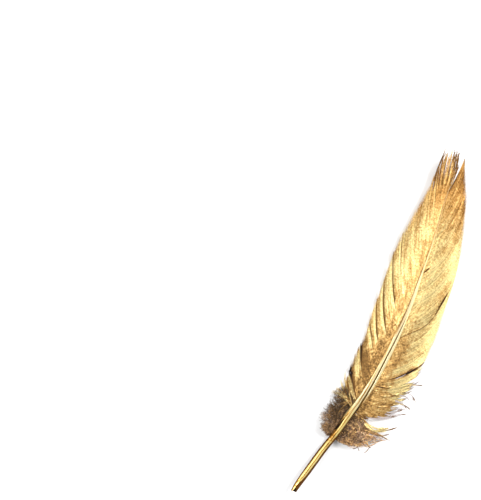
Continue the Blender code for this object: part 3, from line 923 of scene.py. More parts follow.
def draw_in(outward, guides, reach, spots, target, amount):
    """Spots of the barbs, across and along, drawn by amount towards the barb that grows at target."""
    goals = barb_plan(outward, guides, np.clip(target, VANE_START, VANE_END), reach)
    return [spot + (goal - spot) * amount for spot, goal in zip(spots, goals)]


def barb_distance(outward, guides, roots, reach, x, y):
    """How far apart barbs stand, across their run, per millimetre of the shaft."""
    step = (VANE_END - VANE_START) / (BARBS - 1)
    ax, ay = barb_plan(outward, guides, roots - step / 2, reach)
    bx, by = barb_plan(outward, guides, roots + step / 2, reach)
    run_x, run_y = np.gradient(x, axis=1), np.gradient(y, axis=1)
    distance = np.abs((bx - ax) * run_y - (by - ay) * run_x) / (np.hypot(run_x, run_y) + 1e-9)
    return np.maximum(distance, CLOSEST), step


def sheet_height(guides, roots, shares, reach, y, lock, parted, seed):
    """Height of the sheet, with parted locks a little above or below the next ones."""
    clearance = (0.5 - 0.18 * ease(roots, 30.0, 50.0)) * along(SHAFT, roots)[2]
    climb = np.maximum(0.0, reach - VANE_CLIMB) / (1.0 - VANE_CLIMB)
    height = ground_height(y) + clearance * (1.0 - ease(shares, 0.0, VANE_DIP))
    height = height + along(guides, roots)[3] * climb ** 2 + SHEET_HEIGHT
    height = height + 0.45 * np.sin(2.4 * lock) * np.cos(0.7 * lock) * climb * parted
    return height + 0.10 * smooth_noise(roots, seed + 6, 2.6) * ease(shares, 0.2, 0.8)


def roll_of(lines, sheet):
    """Roll of each barb so that its blade lies in its own sheet. sheet numbers the sheets."""
    forward = np.gradient(lines, axis=1)
    forward /= np.linalg.norm(forward, axis=-1, keepdims=True) + 1e-9
    side = np.cross(forward, (0.0, 0.0, 1.0))
    side /= np.linalg.norm(side, axis=-1, keepdims=True) + 1e-9
    up = np.cross(side, forward)
    step = (lines[1:] - lines[:-1]) * (sheet[1:] == sheet[:-1])[..., None]
    total = np.zeros_like(lines)
    total[:-1] += step
    total[1:] += step
    out = (total * side).sum(-1)
    lean = np.arctan2((total * up).sum(-1) * np.sign(out), np.maximum(np.abs(out), 0.02))
    return -np.clip(lean, -1.0, 1.0)


print("the sheet is down at", VANE_DIP, "of a barb and climbs from", VANE_CLIMB)

# %% [markdown]
# ## The vanes
#
# Now all of it comes together. For each vane the script works out every point of every barb at once,
# as arrays with one row a barb, and hands the lines with their numbers to the tree. A loop over single
# barbs would be easier to read but far slower.

# %% Both vanes
FRAYS_FROM, FRAYS_FULL = 114.0, 122.0       # roots over which the left vane turns frayed
LOOSE_TO, FIRM_FROM = 52.0, 58.0            # roots over which the loose foot of a vane turns firm


def vane_lines(outward, guides, partings, crevices, paint, seed):
    """Lines of one vane's barbs, and the values that its tree and finish read."""
    random = np.random.default_rng(seed)
    roots = np.linspace(VANE_START, VANE_END, BARBS)[:, None]
    shares = np.linspace(0.0, 1.0, BARB_POINTS)[None, :]
    frayed = ease(roots, FRAYS_FROM, FRAYS_FULL) if outward == LEFT else 0.0 * roots
    loose = 1.0 - ease(roots, LOOSE_TO, FIRM_FROM)
    # locks and lengths
    lock = np.clip(((roots - VANE_START) // LOCK_PITCH).astype(int), 0, VANE_LOCKS - 1)
    low = VANE_START + lock * LOCK_PITCH
    centre = low + LOCK_PITCH / 2
    side = np.abs(roots - centre) / (LOCK_PITCH / 2)
    opens, taken, shorter = parting_values(partings, np.where(roots < centre, low, low + LOCK_PITCH))
    parted = ease(shares, opens, 1.0)
    ragged = 0.012 + 0.035 * frayed + 0.05 * loose
    length, dense, let_go = barb_lengths(outward, roots, ragged, random, seed)
    reach = shares * length * (1.0 - shorter * parted * side)
    # places, drawn in to the middles of the locks and of narrow bunches
    bunches = roots / BUNCH + 0.8 * smooth_noise(roots, seed + 1, 1.7)
    bunch_centre = roots + (np.floor(bunches) + 0.5 - bunches) * BUNCH
    bunched = (0.22 + 0.16 * frayed + 0.12 * loose) * ease(shares, 0.82 - 0.45 * frayed - 0.2 * loose, 1.0)
    x, y = barb_plan(outward, guides, roots, reach)
    for target, amount in ((centre, taken * parted), (bunch_centre, bunched)):
        x, y = draw_in(outward, guides, reach, (x, y), target, amount)
    # widths
    distance, step = barb_distance(outward, guides, roots, reach, x, y)
    dark, lift, sheet, wide = overlap(crevices, roots, shares, distance / step)
    natural = let_go * ease(reach, dense - 0.03, dense + 0.06)
    width = distance * BLADE_SHARE * (1.0 - 0.8 * ease(shares, 0.90, 1.0)) * (1.0 - 0.4 * natural) * wide
    width = width * (1.0 - 0.35 * frayed * ease(shares, 0.4, 0.9))
    # heights and rolls
    z = sheet_height(guides, roots, shares, reach, y, lock, parted, seed) + lift
    x = x + 0.05 * smooth_noise(shares * 30.0 + roots * 9.0, seed + 2, 4.0) * shares
    lines = np.stack([x, y, np.maximum(z, 0.4 * width + 0.02)], axis=-1)
    roll = roll_of(lines, sheet + 100 * lock * (parted > 0.05))
    lines[..., 2] += 0.03 * random.random(roots.shape)
    cover, warm = vane_paint(outward, paint, roots, shares, x, y, lift, seed)
    return lines, {
        "half_width": width * MM,
        "roll": roll,
        "barb_tone": random.random(roots.shape),
        "cover": cover,
        "warm": warm,
        "natural": natural,
        # painted shade and painted shadow of the crevices
        "crevice": np.clip(dark, 0.0, 1.0),
        "run": np.cumsum(np.hypot(np.gradient(x, axis=1), np.gradient(y, axis=1)), axis=1) * MM,
        "row": (roots * 0.55 + outward * 90.0) * MM,
    }


def make_vane(name, *plan, seed):
    """One vane. plan is its side, guides, partings, crevices and paint."""
    lines, values = vane_lines(*plan, seed)
    return grow(name, lines, values, BARB_TREE, {
        "Sides": 4, "Ridge Height": 0.5, "Keel Depth": 0.3, "Material": VANE_FINISH})


left_vane = make_vane("left_vane", LEFT, LEFT_VANE, LEFT_PARTINGS, LEFT_CREVICES, PAINT_LEFT, seed=11)
right_vane = make_vane("right_vane", RIGHT, RIGHT_VANE, RIGHT_PARTINGS, RIGHT_CREVICES, PAINT_RIGHT, seed=12)

# %% [markdown]
# ## Loose barbs
#
# Low on the right edge, and at the frayed tip, barbs have let go of the sheet. They stand out singly
# and in thin wisps, bent by their own weight. Combing particle hair would give them too, but an export
# drops it. A wisp is a bowed line with a few hairs about it, so a short table of wisps is enough, and
# the barbs' own tree makes them.

# %% Table of wisps
# start, pull and end of the wisp, across, along and up; number of hairs; spread; paint, or BARE; dark share
BARE = -1.0
WISPS = [
    ((24.0, 60.0, 2.6), (27.0, 61.0, 3.6), (30.4, 62.5, 3.2), 14, 0.22, 0.8, 0.42),
    ((19.0, 60.0, 2.6), (20.6, 61.8, 3.2), (22.0, 63.6, 3.6), 7, 0.14, BARE, 0.0),
    ((24.4, 61.8, 2.6), (26.0, 63.4, 3.4), (26.4, 65.4, 3.6), 4, 0.4, 0.9, 0.0),
    ((23.8, 56.0, 2.4), (24.4, 56.3, 3.0), (25.3, 56.5, 3.2), 4, 0.15, 0.4, 1.0),
    ((24.6, 56.2, 2.4), (28.2, 57.9, 3.8), (30.7, 54.7, 3.0), 9, 0.25, BARE, 0.3),
    ((23.6, 54.4, 2.1), (26.6, 55.8, 3.4), (28.8, 54.0, 3.0), 6, 0.6, BARE, 0.0),
    ((22.8, 50.0, 2.2), (26.2, 52.9, 3.4), (30.0, 51.1, 2.8), 12, 0.22, 0.7, 0.40),
    ((23.0, 51.8, 2.0), (26.0, 52.4, 3.2), (27.8, 50.6, 2.6), 7, 0.7, BARE, 0.0),
    ((22.6, 48.0, 2.2), (25.2, 49.4, 3.2), (28.6, 50.2, 2.8), 9, 0.5, BARE, 0.1),
    ((21.8, 46.0, 2.0), (24.6, 46.8, 3.2), (27.4, 50.0, 2.8), 12, 0.4, BARE, 0.3),
    ((21.4, 45.0, 1.8), (25.4, 46.0, 3.2), (29.2, 48.8, 2.8), 9, 0.4, BARE, 0.2),
    ((19.0, 42.6, 1.6), (23.0, 43.6, 2.8), (26.0, 46.6, 2.6), 12, 0.35, BARE, 0.3),
    ((14.0, 40.2, 1.4), (20.0, 41.2, 2.4), (25.4, 45.8, 2.6), 16, 0.35, BARE, 0.0),
    ((9.4, 40.6, 1.6), (12.6, 39.6, 2.4), (15.8, 40.0, 2.6), 30, 0.45, 0.2, 0.3),
    ((9.4, 41.0, 1.4), (12.2, 40.5, 2.2), (14.6, 40.5, 2.4), 30, 0.25, 0.2, 0.3),
    ((9.2, 39.8, 1.8), (11.6, 39.2, 3.0), (13.6, 39.3, 3.2), 24, 0.5, 0.2, 0.3),
    ((11.6, 40.0, 2.8), (13.4, 39.7, 3.2), (15.4, 40.1, 3.0), 7, 0.12, 0.1, 1.0),
    ((4.6, 44.6, 1.6), (0.6, 47.0, 2.6), (-2.4, 51.2, 2.6), 9, 0.9, 0.9, 0.0),
    ((3.2, 47.0, 1.8), (0.2, 50.0, 2.6), (-1.8, 55.0, 2.6), 8, 0.7, 0.7, 0.0),
    ((5.8, 42.6, 2.4), (3.4, 41.4, 3.6), (3.3, 35.4, 4.2), 3, 0.2, 0.2, 0.0),
    ((5.6, 43.4, 2.4), (3.4, 42.4, 3.6), (1.6, 39.2, 4.4), 3, 0.5, 0.2, 0.0),
    ((4.4, 44.4, 2.6), (2.0, 43.6, 3.8), (-1.0, 42.2, 4.6), 4, 0.5, 0.2, 0.0),
    ((6.8, 42.2, 2.0), (1.6, 45.4, 3.6), (-3.8, 44.6, 3.4), 10, 0.8, 0.9, 0.0),
    ((6.0, 43.6, 2.0), (2.0, 45.0, 3.6), (-3.0, 47.4, 3.2), 10, 0.9, 0.6, 0.0),
    ((11.0, 39.8, 1.8), (15.6, 39.2, 5.0), (19.6, 36.6, 5.8), 16, 0.35, 0.3, 0.0),
    ((13.6, 39.2, 2.6), (15.4, 38.2, 5.0), (18.0, 37.9, 5.4), 5, 0.12, 0.2, 0.9),
    ((15.2, 37.9, 4.6), (20.4, 35.6, 7.0), (24.2, 39.4, 5.8), 60, 0.62, 1.2, 0.0),
    ((16.4, 38.2, 4.8), (20.8, 37.4, 6.8), (25.0, 40.4, 5.8), 44, 0.45, 1.1, 0.0),
    ((20.6, 37.6, 5.8), (24.8, 38.8, 6.2), (27.8, 42.3, 5.4), 10, 0.16, 0.8, 0.5),
    ((22.6, 36.4, 5.6), (24.4, 36.6, 6.2), (26.5, 38.7, 5.6), 7, 0.12, 0.4, 0.65),
    ((17.6, 35.4, 5.0), (22.4, 36.5, 6.6), (25.9, 36.1, 6.0), 10, 0.16, 0.2, 0.6),
    ((18.6, 34.8, 5.0), (22.4, 35.3, 6.6), (25.4, 35.5, 6.0), 16, 0.3, BARE, 0.0),
    ((24.9, 35.9, 6.2), (25.6, 36.1, 6.2), (26.0, 35.9, 6.2), 6, 0.12, 0.1, 1.0),
    ((25.4, 36.0, 6.0), (26.6, 36.1, 6.0), (27.7, 35.9, 5.6), 4, 0.06, BARE, 0.2),
    ((20.4, 31.6, 4.4), (22.8, 33.4, 5.8), (24.6, 34.9, 5.4), 12, 0.16, 0.3, 0.8),
    ((19.4, 30.6, 4.2), (20.8, 30.4, 5.0), (21.5, 29.6, 4.8), 9, 0.2, 0.3, 0.6),
    ((21.0, 29.8, 4.2), (21.0, 28.2, 4.2), (19.9, 26.2, 4.0), 4, 0.12, 0.2, 0.9),
    ((16.0, 29.0, 3.8), (16.8, 27.4, 3.8), (18.2, 26.4, 3.8), 4, 0.12, 0.2, 0.9),
    ((16.6, 29.0, 3.8), (16.6, 27.0, 3.8), (15.2, 26.3, 3.6), 7, 0.14, 0.2, 0.9),
    ((-1.8, 141.0, 4.2), (-2.9, 148.0, 5.2), (-2.9, 155.4, 6.2), 18, 0.4, 0.3, 0.9),
    ((1.2, 141.0, 4.0), (-0.7, 148.0, 5.2), (-2.0, 155.2, 6.2), 18, 0.6, 0.55, 0.0),
    ((2.8, 142.0, 4.4), (1.2, 149.0, 5.4), (-0.6, 156.4, 6.6), 18, 0.6, 0.6, 0.0),
    ((4.4, 144.6, 4.8), (3.2, 150.6, 5.8), (1.5, 156.5, 6.8), 10, 0.22, 0.4, 0.7),
    ((4.8, 145.0, 4.8), (4.0, 150.6, 5.8), (2.4, 156.0, 6.6), 12, 0.35, 0.3, 0.6),
    ((5.3, 143.6, 4.8), (5.0, 149.0, 5.6), (3.6, 154.0, 6.2), 9, 0.22, 0.4, 0.7),
    ((5.5, 142.0, 4.8), (5.5, 147.0, 5.4), (4.7, 151.4, 6.0), 9, 0.22, 0.5, 0.6),
    ((4.2, 141.6, 4.6), (3.0, 148.6, 5.5), (0.7, 156.2, 6.4), 18, 0.6, 0.6, 0.2),
    # a dark wisp in the notch at the tip: painted shadow
    ((5.7, 139.6, 4.4), (6.0, 143.0, 4.6), (6.35, 147.2, 5.0), 6, 0.08, 0.1, 0.8),
    ((7.0, 42.8, 2.2), (4.8, 45.0, 2.9), (2.4, 49.4, 2.8), 12, 0.40, 0.5, 0.2),
    ((6.4, 42.6, 2.4), (3.8, 44.4, 3.1), (0.8, 48.6, 3.0), 10, 0.35, 0.3, 0.4),
]
print(len(WISPS), "wisps with", sum(hairs for _, _, _, hairs, *_ in WISPS), "hairs")

# %% [markdown]
# ## Hairs of the wisps
#
# Each hair starts, bows and ends near its wisp's three points and curls a little on the way. Copies of
# one hair would look like a comb, so each is drawn by chance. Hairs of a wisp share its paint, give or
# take a little, and the tips of some wisps are dark.

# %% Wisps beside the vane and at the tip
WISP_POINTS = 14
WISP_WIDTH = 0.11               # half width of a hair at its root, in mm
STRAY = np.array([[0.25], [0.45], [0.6]])       # how far hairs stray at the wisp's start, pull and end
BOX_LOW, BOX_HIGH = (-4.8, 0.0), (30.7, 156.4, 7.1)     # hairs stay in the box of the solid


def keep_in_box(lines, lowest):
    """Hairs end where the solid's box ends. lowest is how far they stay off the ground."""
    return np.clip(lines, (*BOX_LOW, lowest), BOX_HIGH)


def wisp_lines(seed):
    """Lines of all hairs, and the values that their tree and finish read."""
    random = np.random.default_rng(seed)
    shares = np.linspace(0.0, 1.0, WISP_POINTS)
    lines, rows = [], []
    for start, pull, end, hairs, spread, cover, dark_tip in WISPS:
        for _ in range(hairs):
            away = random.normal(0.0, 1.0, (3, 3)) * STRAY * spread
            away[:, 2] *= 0.5
            root, bend, tip = np.array((start, pull, end)) + away
            tip = root + (tip - root) * (1.0 - 0.35 * random.random() ** 2)
            line = bowed_line(root, bend, tip, shares[:, None])
            line[:, 0] += smooth_noise(shares * 5.0 + random.random() * 90.0, seed + 1, 1.3) * 0.28 * shares
            lines.append(line)
            tone, paint = random.random(), cover + 0.3 * (random.random() - 0.5)
            rows.append((tone, paint, 1.0 - dark_tip, start[1] > 100.0))
    tone, paint, dark_from, is_tip = np.array(rows, float).T[..., None]
    width = WISP_WIDTH * (1.0 - (0.75 - 0.3 * (dark_from < 0.9)) * shares)
    return keep_in_box(np.array(lines), 0.2), {
        "half_width": width * MM,
        "roll": 0.0 * width,
        "barb_tone": tone,
        "cover": paint,
        "warm": 0.1 + 0.7 * is_tip,
        "natural": (paint < -0.5) * 1.0,
        "crevice": 0.62 * ease(shares, dark_from - 0.1, dark_from + 0.15),
        "run": shares * 5.0 * MM,
        "row": tone * 40.0 * MM,
    }


loose_barbs = grow("loose_barbs", *wisp_lines(31), BARB_TREE, {
    "Sides": 4, "Ridge Height": 0.9, "Keel Depth": 0.9, "Material": VANE_FINISH})

# %% [markdown]
# ## The down
#
# At the foot of the vanes the barbs have no hooks. They are long, soft and curly, and their own side
# hairs stand off all round, which makes the fluff. Modelling each hair is out of the question, but
# they all follow one rule. A second tree sweeps each curl and sets a fine side hair, a three-sided
# spike, on many of its points, turned by chance and leaning to the curl's tip.

# %% Geometry Nodes: fluffy down on lines
def chance(n, seed, low, high):
    """A random number from low to high for each point."""
    node = n.add("FunctionNodeRandomValue", data_type="FLOAT")
    node.inputs[2].default_value = low
    node.inputs[3].default_value = high
    n.put(seed, node.inputs[8])
    return node.outputs[1]


def turned(n, rotation, **angles):
    """A rotation, turned further by angles about its own axes."""
    node = n.add("FunctionNodeRotateRotation", rotation_space="LOCAL")
    n.put(rotation, node.inputs[0])
    n.put(n.feed(n.add("FunctionNodeEulerToRotation"), Euler=n.vector(**angles)).outputs[0], node.inputs[1])
    return node.outputs[0]


def down_tree():
    """Down: a thin outline along each line, with side hairs."""
    tree = new_geometry_tree("Down on lines")
    add_socket(tree, "Sides", "NodeSocketInt", 3)
    add_socket(tree, "Hair Gap", "NodeSocketFloat", 0.25 * MM)
    add_socket(tree, "Hair Length", "NodeSocketFloat", 1.3 * MM)
    add_socket(tree, "Hair Width", "NodeSocketFloat", 0.03 * MM)
    add_socket(tree, "Lean", "NodeSocketFloat", math.radians(55.0))
    add_socket(tree, "Seed", "NodeSocketInt", 1)
    add_socket(tree, "Material", "NodeSocketMaterial")
    n = Nodes(tree)
    inputs = n.add("NodeGroupInput").outputs
    curve, mesh = ridged_sweep(n, inputs["Geometry"], inputs["Sides"], 1.0, 1.0)
    spots = n.feed(n.add("GeometryNodeCurveToPoints", mode="LENGTH"), Curve=curve, Length=inputs["Hair Gap"])
    hair = n.feed(n.add("GeometryNodeMeshCone", fill_type="NGON"), Vertices=3, Side_Segments=1,
                  Fill_Segments=1, Radius_Top=0.0, Radius_Bottom=1.0, Depth=1.0)
    seeds = [n.math("ADD", inputs["Seed"], salt) for salt in (1, 2, 3)]
    spun = turned(n, spots.outputs["Rotation"], Z=chance(n, seeds[0], 0.0, math.tau))
    leaned = turned(n, spun, X=n.math("MULTIPLY", inputs["Lean"], chance(n, seeds[1], 0.6, 1.25)))
    size = n.vector(X=inputs["Hair Width"], Y=inputs["Hair Width"],
                    Z=n.math("MULTIPLY", inputs["Hair Length"], chance(n, seeds[2], 0.4, 1.2)))
    hairs = n.feed(n.add("GeometryNodeInstanceOnPoints"), Points=spots.outputs["Points"],
                   Instance=hair.outputs[0], Rotation=leaned, Scale=size)
    both = n.add("GeometryNodeJoinGeometry")
    n.put(hairs.outputs[0], both.inputs[0])
    n.put(mesh, both.inputs[0])
    finish_tree(n, both.outputs[0], inputs["Material"])
    return tree


DOWN_TREE = down_tree()
print(DOWN_TREE.name, "has", len(DOWN_TREE.nodes), "nodes")

# %% [markdown]
# ## Finish of the down
#
# The down is taupe, and the spray only dusted it. Seen close, each curl is light in one stretch and
# dark in the next, and some have a cool grey tinge. One brown would look like felt, so the tone comes
# from the curl's own number, from streaks along it and from blotches that run across the curls.

# %% Finish of the down
COOL_TINGE = (0.86, 1.04, 1.75, 1)
DARKEST, LIGHTEST = 0.50, 4.2           # what the taupe is multiplied by


def down_wear(n, place, group):
    """Streaks along the curls are light or dark, and some have a cool grey tinge."""
    along_curl = n.vector(X=n.math("MULTIPLY", n.attribute("run"), 0.5), Y=n.attribute("row"))
    n.feed(group, Cover=n.attribute("cover"), Patch_Vector=along_curl)
    streaks = n.swing(n.noise(along_curl, 1100.0, 2.0, 0.6), 1.9)
    blotches = n.swing(n.noise(place, 620.0, 1.0, 0.5), 0.7)
    tone = n.math("ADD", n.attribute("strand_tone"), n.math("ADD", streaks, blotches))
    colour = n.tint(group.outputs["Color"], n.ramp(tone, 0.0, 0.95, DARKEST, LIGHTEST))
    cool = n.ramp(n.noise(place, 380.0, 1.0, 0.5), 0.52, 0.66, 0.0, 0.4)
    return n.mix(cool, colour, n.tint(colour, COOL_TINGE))


DOWN_FINISH = painted_material(
    "gold_down",
    {"Ground": (0.182, 0.110, 0.058, 1), "Deep Gold": (0.42, 0.26, 0.11, 1),
     "Pale Gold": (0.80, 0.62, 0.32, 1), "Patch Size": 2.2, "Grain Size": 0.9},
    down_wear, bump=0.1, shine=0.2)
print(DOWN_FINISH.name, "has", len(DOWN_FINISH.node_tree.nodes), "nodes")

# %% [markdown]
# ## Where the down lies
#
# The down spreads from the foot of the vanes on both sides and ends in a ragged but clear outline. So
# it has guide barbs as the vanes have, and a room: how far its thick part reaches at each place
# across. Curls that leave the room are pressed together at its edge, softly, as fluff is.

# %% Guides and room of the down
RIGHT_DOWN = [
    (27.0, 10.2, 25.6, 0.10, 3.0),
    (29.1, 16.6, 26.8, 0.16, 4.4),
    (31.2, 21.8, 29.8, 0.16, 5.4),
    (33.3, 25.2, 34.0, 0.14, 6.0),
    (37.0, 27.6, 38.8, 0.20, 5.6),
    (39.6, 28.4, 42.4, 0.27, 4.2),
]
LEFT_DOWN = [
    (27.0, 2.6, 26.2, 0.12, 3.0),
    (29.1, -0.6, 27.4, 0.16, 4.4),
    (32.0, -3.4, 30.4, 0.14, 5.6),
    (35.4, -4.75, 35.0, 0.10, 6.0),
    (38.2, -4.6, 41.0, 0.07, 5.4),
    (39.6, -3.6, 46.0, 0.05, 4.6),
    (43.5, -1.2, 50.4, 0.05, 3.0),
]
# place across, and the places along between which the thick of the down lies
RIGHT_ROOM = [
    (8.0, 25.6, 41.8), (11.0, 25.7, 41.6), (12.8, 25.9, 40.8), (14.4, 26.8, 39.3), (16.5, 28.0, 37.9),
    (18.5, 28.6, 36.8), (20.5, 29.8, 36.5), (21.5, 31.2, 36.4), (22.8, 33.0, 36.3), (24.2, 34.4, 36.2),
    (26.0, 35.4, 36.2), (31.0, 36.0, 36.6),
]
LEFT_ROOM = [(-5.0, 31.0, 42.0), (-4.0, 29.5, 46.0), (-1.0, 27.0, 48.5), (2.0, 25.8, 49.0), (7.0, 25.6, 47.0)]
# place along, how much lighter the down is than usual
RIGHT_LIGHT = [(27.0, 0.01), (29.0, -0.06), (31.0, -0.17), (33.0, 0.0), (35.0, 0.06), (37.0, 0.06)]
LEFT_LIGHT = [(28.0, 0.10), (32.0, 0.10), (35.0, 0.0), (40.0, -0.14)]


def keep_within(lines, room, limit):
    """Press the lines together along the feather where they leave their share, limit, of the room."""
    low, high = (column([(row[0], row[side]) for row in room], lines[..., 0]) for side in (1, 2))
    middle, half = (low + high) / 2, (high - low) / 2 * limit
    share = (lines[..., 1] - middle) / half
    over = np.maximum(np.abs(share) - 0.75, 0.0)
    kept = np.minimum(np.abs(share), 0.75) + 0.27 * np.tanh(over / 0.3)
    lines[..., 1] = middle + half * np.sign(share) * kept
    return lines


print("the down lies on", round(RIGHT_ROOM[0][2] - RIGHT_ROOM[0][1], 1), "mm of the shaft")

# %% [markdown]
# ## Curls of down
#
# Most lines of down run together to the tip of their tuft and sway on the way. The others are short
# curls that lie on top and turn as they like. Both are made in the same way: a straight run along the
# guides, then a turn at every stretch. Bending by turns, rather than by moving points sideways, keeps
# each curl's length.

# %% Growth and bends of the down
DOWN_TUFTS, TUFT_CURLS, DOWN_POINTS = 42, 20, 16
CURL_SHARE = 0.22               # this share of the lines are short curls on top


def down_growth(guides, shade, random):
    """Tuft and root of each line, how far along its guide its points are, and which are short curls."""
    first, last = guides[0][0], guides[-1][0]
    tuft_root = first + (last - first) * (np.arange(DOWN_TUFTS) + random.random(DOWN_TUFTS)) / DOWN_TUFTS
    tuft_reach = 0.62 + 0.28 * random.random(DOWN_TUFTS) ** 0.5
    tuft = np.repeat(np.arange(DOWN_TUFTS), TUFT_CURLS)[:, None]
    shares = np.linspace(0.0, 1.0, DOWN_POINTS)[None, :]
    is_curl = random.random(tuft.shape) < CURL_SHARE
    spread = 1.0 - 0.8 * ease(shares, 0.2, 1.0) * ~is_curl
    roots = np.clip(tuft_root[tuft] + random.normal(0.0, 1.3, tuft.shape) * spread, first, last)
    reach = tuft_reach[tuft] * (1.0 - (0.5 - 0.35 * shade) * random.random(tuft.shape) ** 1.5)
    begin = np.where(is_curl, random.uniform(0.0, 0.7, tuft.shape), 0.0)
    run = begin + shares * np.where(is_curl, random.uniform(0.16, 0.42, tuft.shape), reach)
    return tuft, roots, run, shares, is_curl


def down_turns(tuft, run, shares, is_curl, own, random, seed):
    """Angle by which each stretch of the lines turns."""
    sway = 0.36 * smooth_noise(run * 9.0 + tuft * 3.7, seed + 3, 1.8)
    sway = sway + 0.28 * smooth_noise(run * 22.0 + own, seed + 4, 1.6)
    end = random.uniform(-1.0, 1.0, is_curl.shape) ** 3 * 2.4 * ease(shares, 0.55, 1.05) ** 2
    loop = random.uniform(-0.8, 0.8, is_curl.shape) + random.uniform(-2.2, 2.2, is_curl.shape) * shares
    loop = loop + 0.9 * smooth_noise(shares * 6.0 + own, seed + 6, 1.4)
    return np.where(is_curl, loop, sway * ease(run, 0.03, 0.25) + end)


def bend_lines(lines, turn):
    """Turn each stretch of the lines on the level by its angle, and join the stretches again."""
    stretch = np.diff(lines, axis=1)
    cosine, sine = np.cos(turn[:, 1:]), np.sin(turn[:, 1:])
    x = stretch[..., 0] * cosine - stretch[..., 1] * sine
    y = stretch[..., 0] * sine + stretch[..., 1] * cosine
    steps = np.cumsum(np.stack([x, y, stretch[..., 2]], axis=-1), axis=1)
    return np.concatenate([lines[:, :1], lines[:, :1] + steps], axis=1)


print("lines of down a side:", DOWN_TUFTS * TUFT_CURLS)

# %% [markdown]
# ## Tone of the down, and both sides
#
# High curls caught the light and the spray, low ones lie in shade, and the down is darkest where it
# leaves the shaft. The left side lies in the shade of the vane above it. Real shadows do part of this,
# but real down has many more hairs and holds back more light, so each line carries its tone as a
# number too.

# %% Both sides of the down
GLEAM_PLACE, GLEAM_SIZE = (20.0, 34.5), (4.5, 2.2)      # a pale patch on the right, across and along


def down_tone(lines, run, shares, is_curl, is_pale, light, shade, random):
    """How light each point of the down is."""
    x, y, z = np.moveaxis(lines, -1, 0)
    tone = np.where(is_pale, 0.31, 0.10) + 0.2 * random.random(is_curl.shape) + 0 * shares
    tone = tone * (1.0 - shade) + (0.26 - 0.18 * shade) * ease(z, 1.0, 5.5)
    tone = tone - (0.10 - 0.41 * shade) * (1.0 - ease(run, 0.05, 0.4))
    tone = tone + (0.06 - 0.1 * shade) * ease(run, 0.5, 0.9)
    away = ((x - GLEAM_PLACE[0]) / GLEAM_SIZE[0]) ** 2 + ((y - GLEAM_PLACE[1]) / GLEAM_SIZE[1]) ** 2
    return tone + column(light, y) + 0.16 * np.exp(-away)


def down_lines(outward, guides, room, light, gilt, shade, seed):
    """Lines of one side's down, and the values that their tree and finish read. gilt is how far gold
    lies on the highest roots, shade how much darker the down is than usual."""
    random = np.random.default_rng(seed)
    tuft, roots, run, shares, is_curl = down_growth(guides, shade, random)
    shape = is_curl.shape
    x, y = barb_plan(outward, guides, roots, np.minimum(run, 1.0))
    level = np.where(is_curl, random.uniform(0.7, 1.0, shape), random.uniform(0.1, 0.9, shape))
    rise = along(guides, roots)[3] * level * ease(run, -0.15, 0.85)
    lines = np.stack([x, y, ground_height(y) * 0.4 + 0.2 + rise], axis=-1)
    own = random.random(shape) * 900.0
    lines = bend_lines(lines, down_turns(tuft, run, shares, is_curl, own, random, seed))
    lines[..., 2] += 0.5 * smooth_noise(run * 16.0 + own, seed + 5, 1.5) * ease(run, 0.02, 0.5)
    lines = keep_in_box(keep_within(lines, room, 1.03 - 0.24 * (own % 1.0)), 0.15)
    is_pale = random.random(shape) < np.where(is_curl, 0.4, 0.18)
    tone = down_tone(lines, run, shares, is_curl, is_pale, light, shade, random)
    golden = ease(roots, guides[-1][0] - 2.4, guides[-1][0] - 0.2) * gilt
    cover = 0.02 + golden * (0.2 + 0.6 * random.random(shape)) + 0.12 * is_curl * is_pale * (1.0 - shade)
    width = np.where(is_curl, 0.14, 0.11) * (1.0 - 0.6 * shares)
    return lines, {
        "half_width": width * MM,
        "roll": 0.0 * width,
        "strand_tone": tone,
        "cover": cover,
        "run": (run * 22.0 + 0.3 * own) * MM,
        "row": (1.1 * roots + 90.0 * outward) * MM,
    }


def make_down(name, *plan, seed, **amounts):
    """The down of one side. plan is its side, guides, room and light."""
    lines, values = down_lines(*plan, **amounts, seed=seed)
    return grow(name, lines, values, DOWN_TREE, {
        "Sides": 3, "Hair Gap": 0.36 * MM, "Hair Length": 0.6 * MM, "Hair Width": 0.024 * MM,
        "Lean": math.radians(50.0), "Seed": seed, "Material": DOWN_FINISH})


left_down = make_down("left_down", LEFT, LEFT_DOWN, LEFT_ROOM, LEFT_LIGHT, gilt=0.2, shade=0.75, seed=21)
right_down = make_down("right_down", RIGHT, RIGHT_DOWN, RIGHT_ROOM, RIGHT_LIGHT, gilt=0.5, shade=0.0, seed=22)

# %% [markdown]
# ## Finish of the quill and the shaft
#
# The horn of the quill is amber below its paint, and the paint has rubbed off in specks near the cut
# end and below the down. Above the down the shaft is paler. The paint's thickness is worked out with
# the shaft's form, so the finish only reads it, takes the worn specks away, changes the golds and
# darkens the groove, the pit and the bore, which is painted shade.

# %% Finish of the shaft
QUILL_GOLDS = ((0.945, 0.795, 0.32, 1), (0.50, 0.24, 0.04, 1))          # pale and deep
UPPER_GOLDS = ((0.95, 0.845, 0.52, 1), (0.60, 0.38, 0.15, 1))
# crevice colours of the shaft: painted shade, and nearly black as painted shadow
SHAFT_BARE_AND_SHADE_BROWN, SHAFT_SHADOW_BLACK = (0.13, 0.070, 0.016, 1), (0.020, 0.010, 0.005, 1)


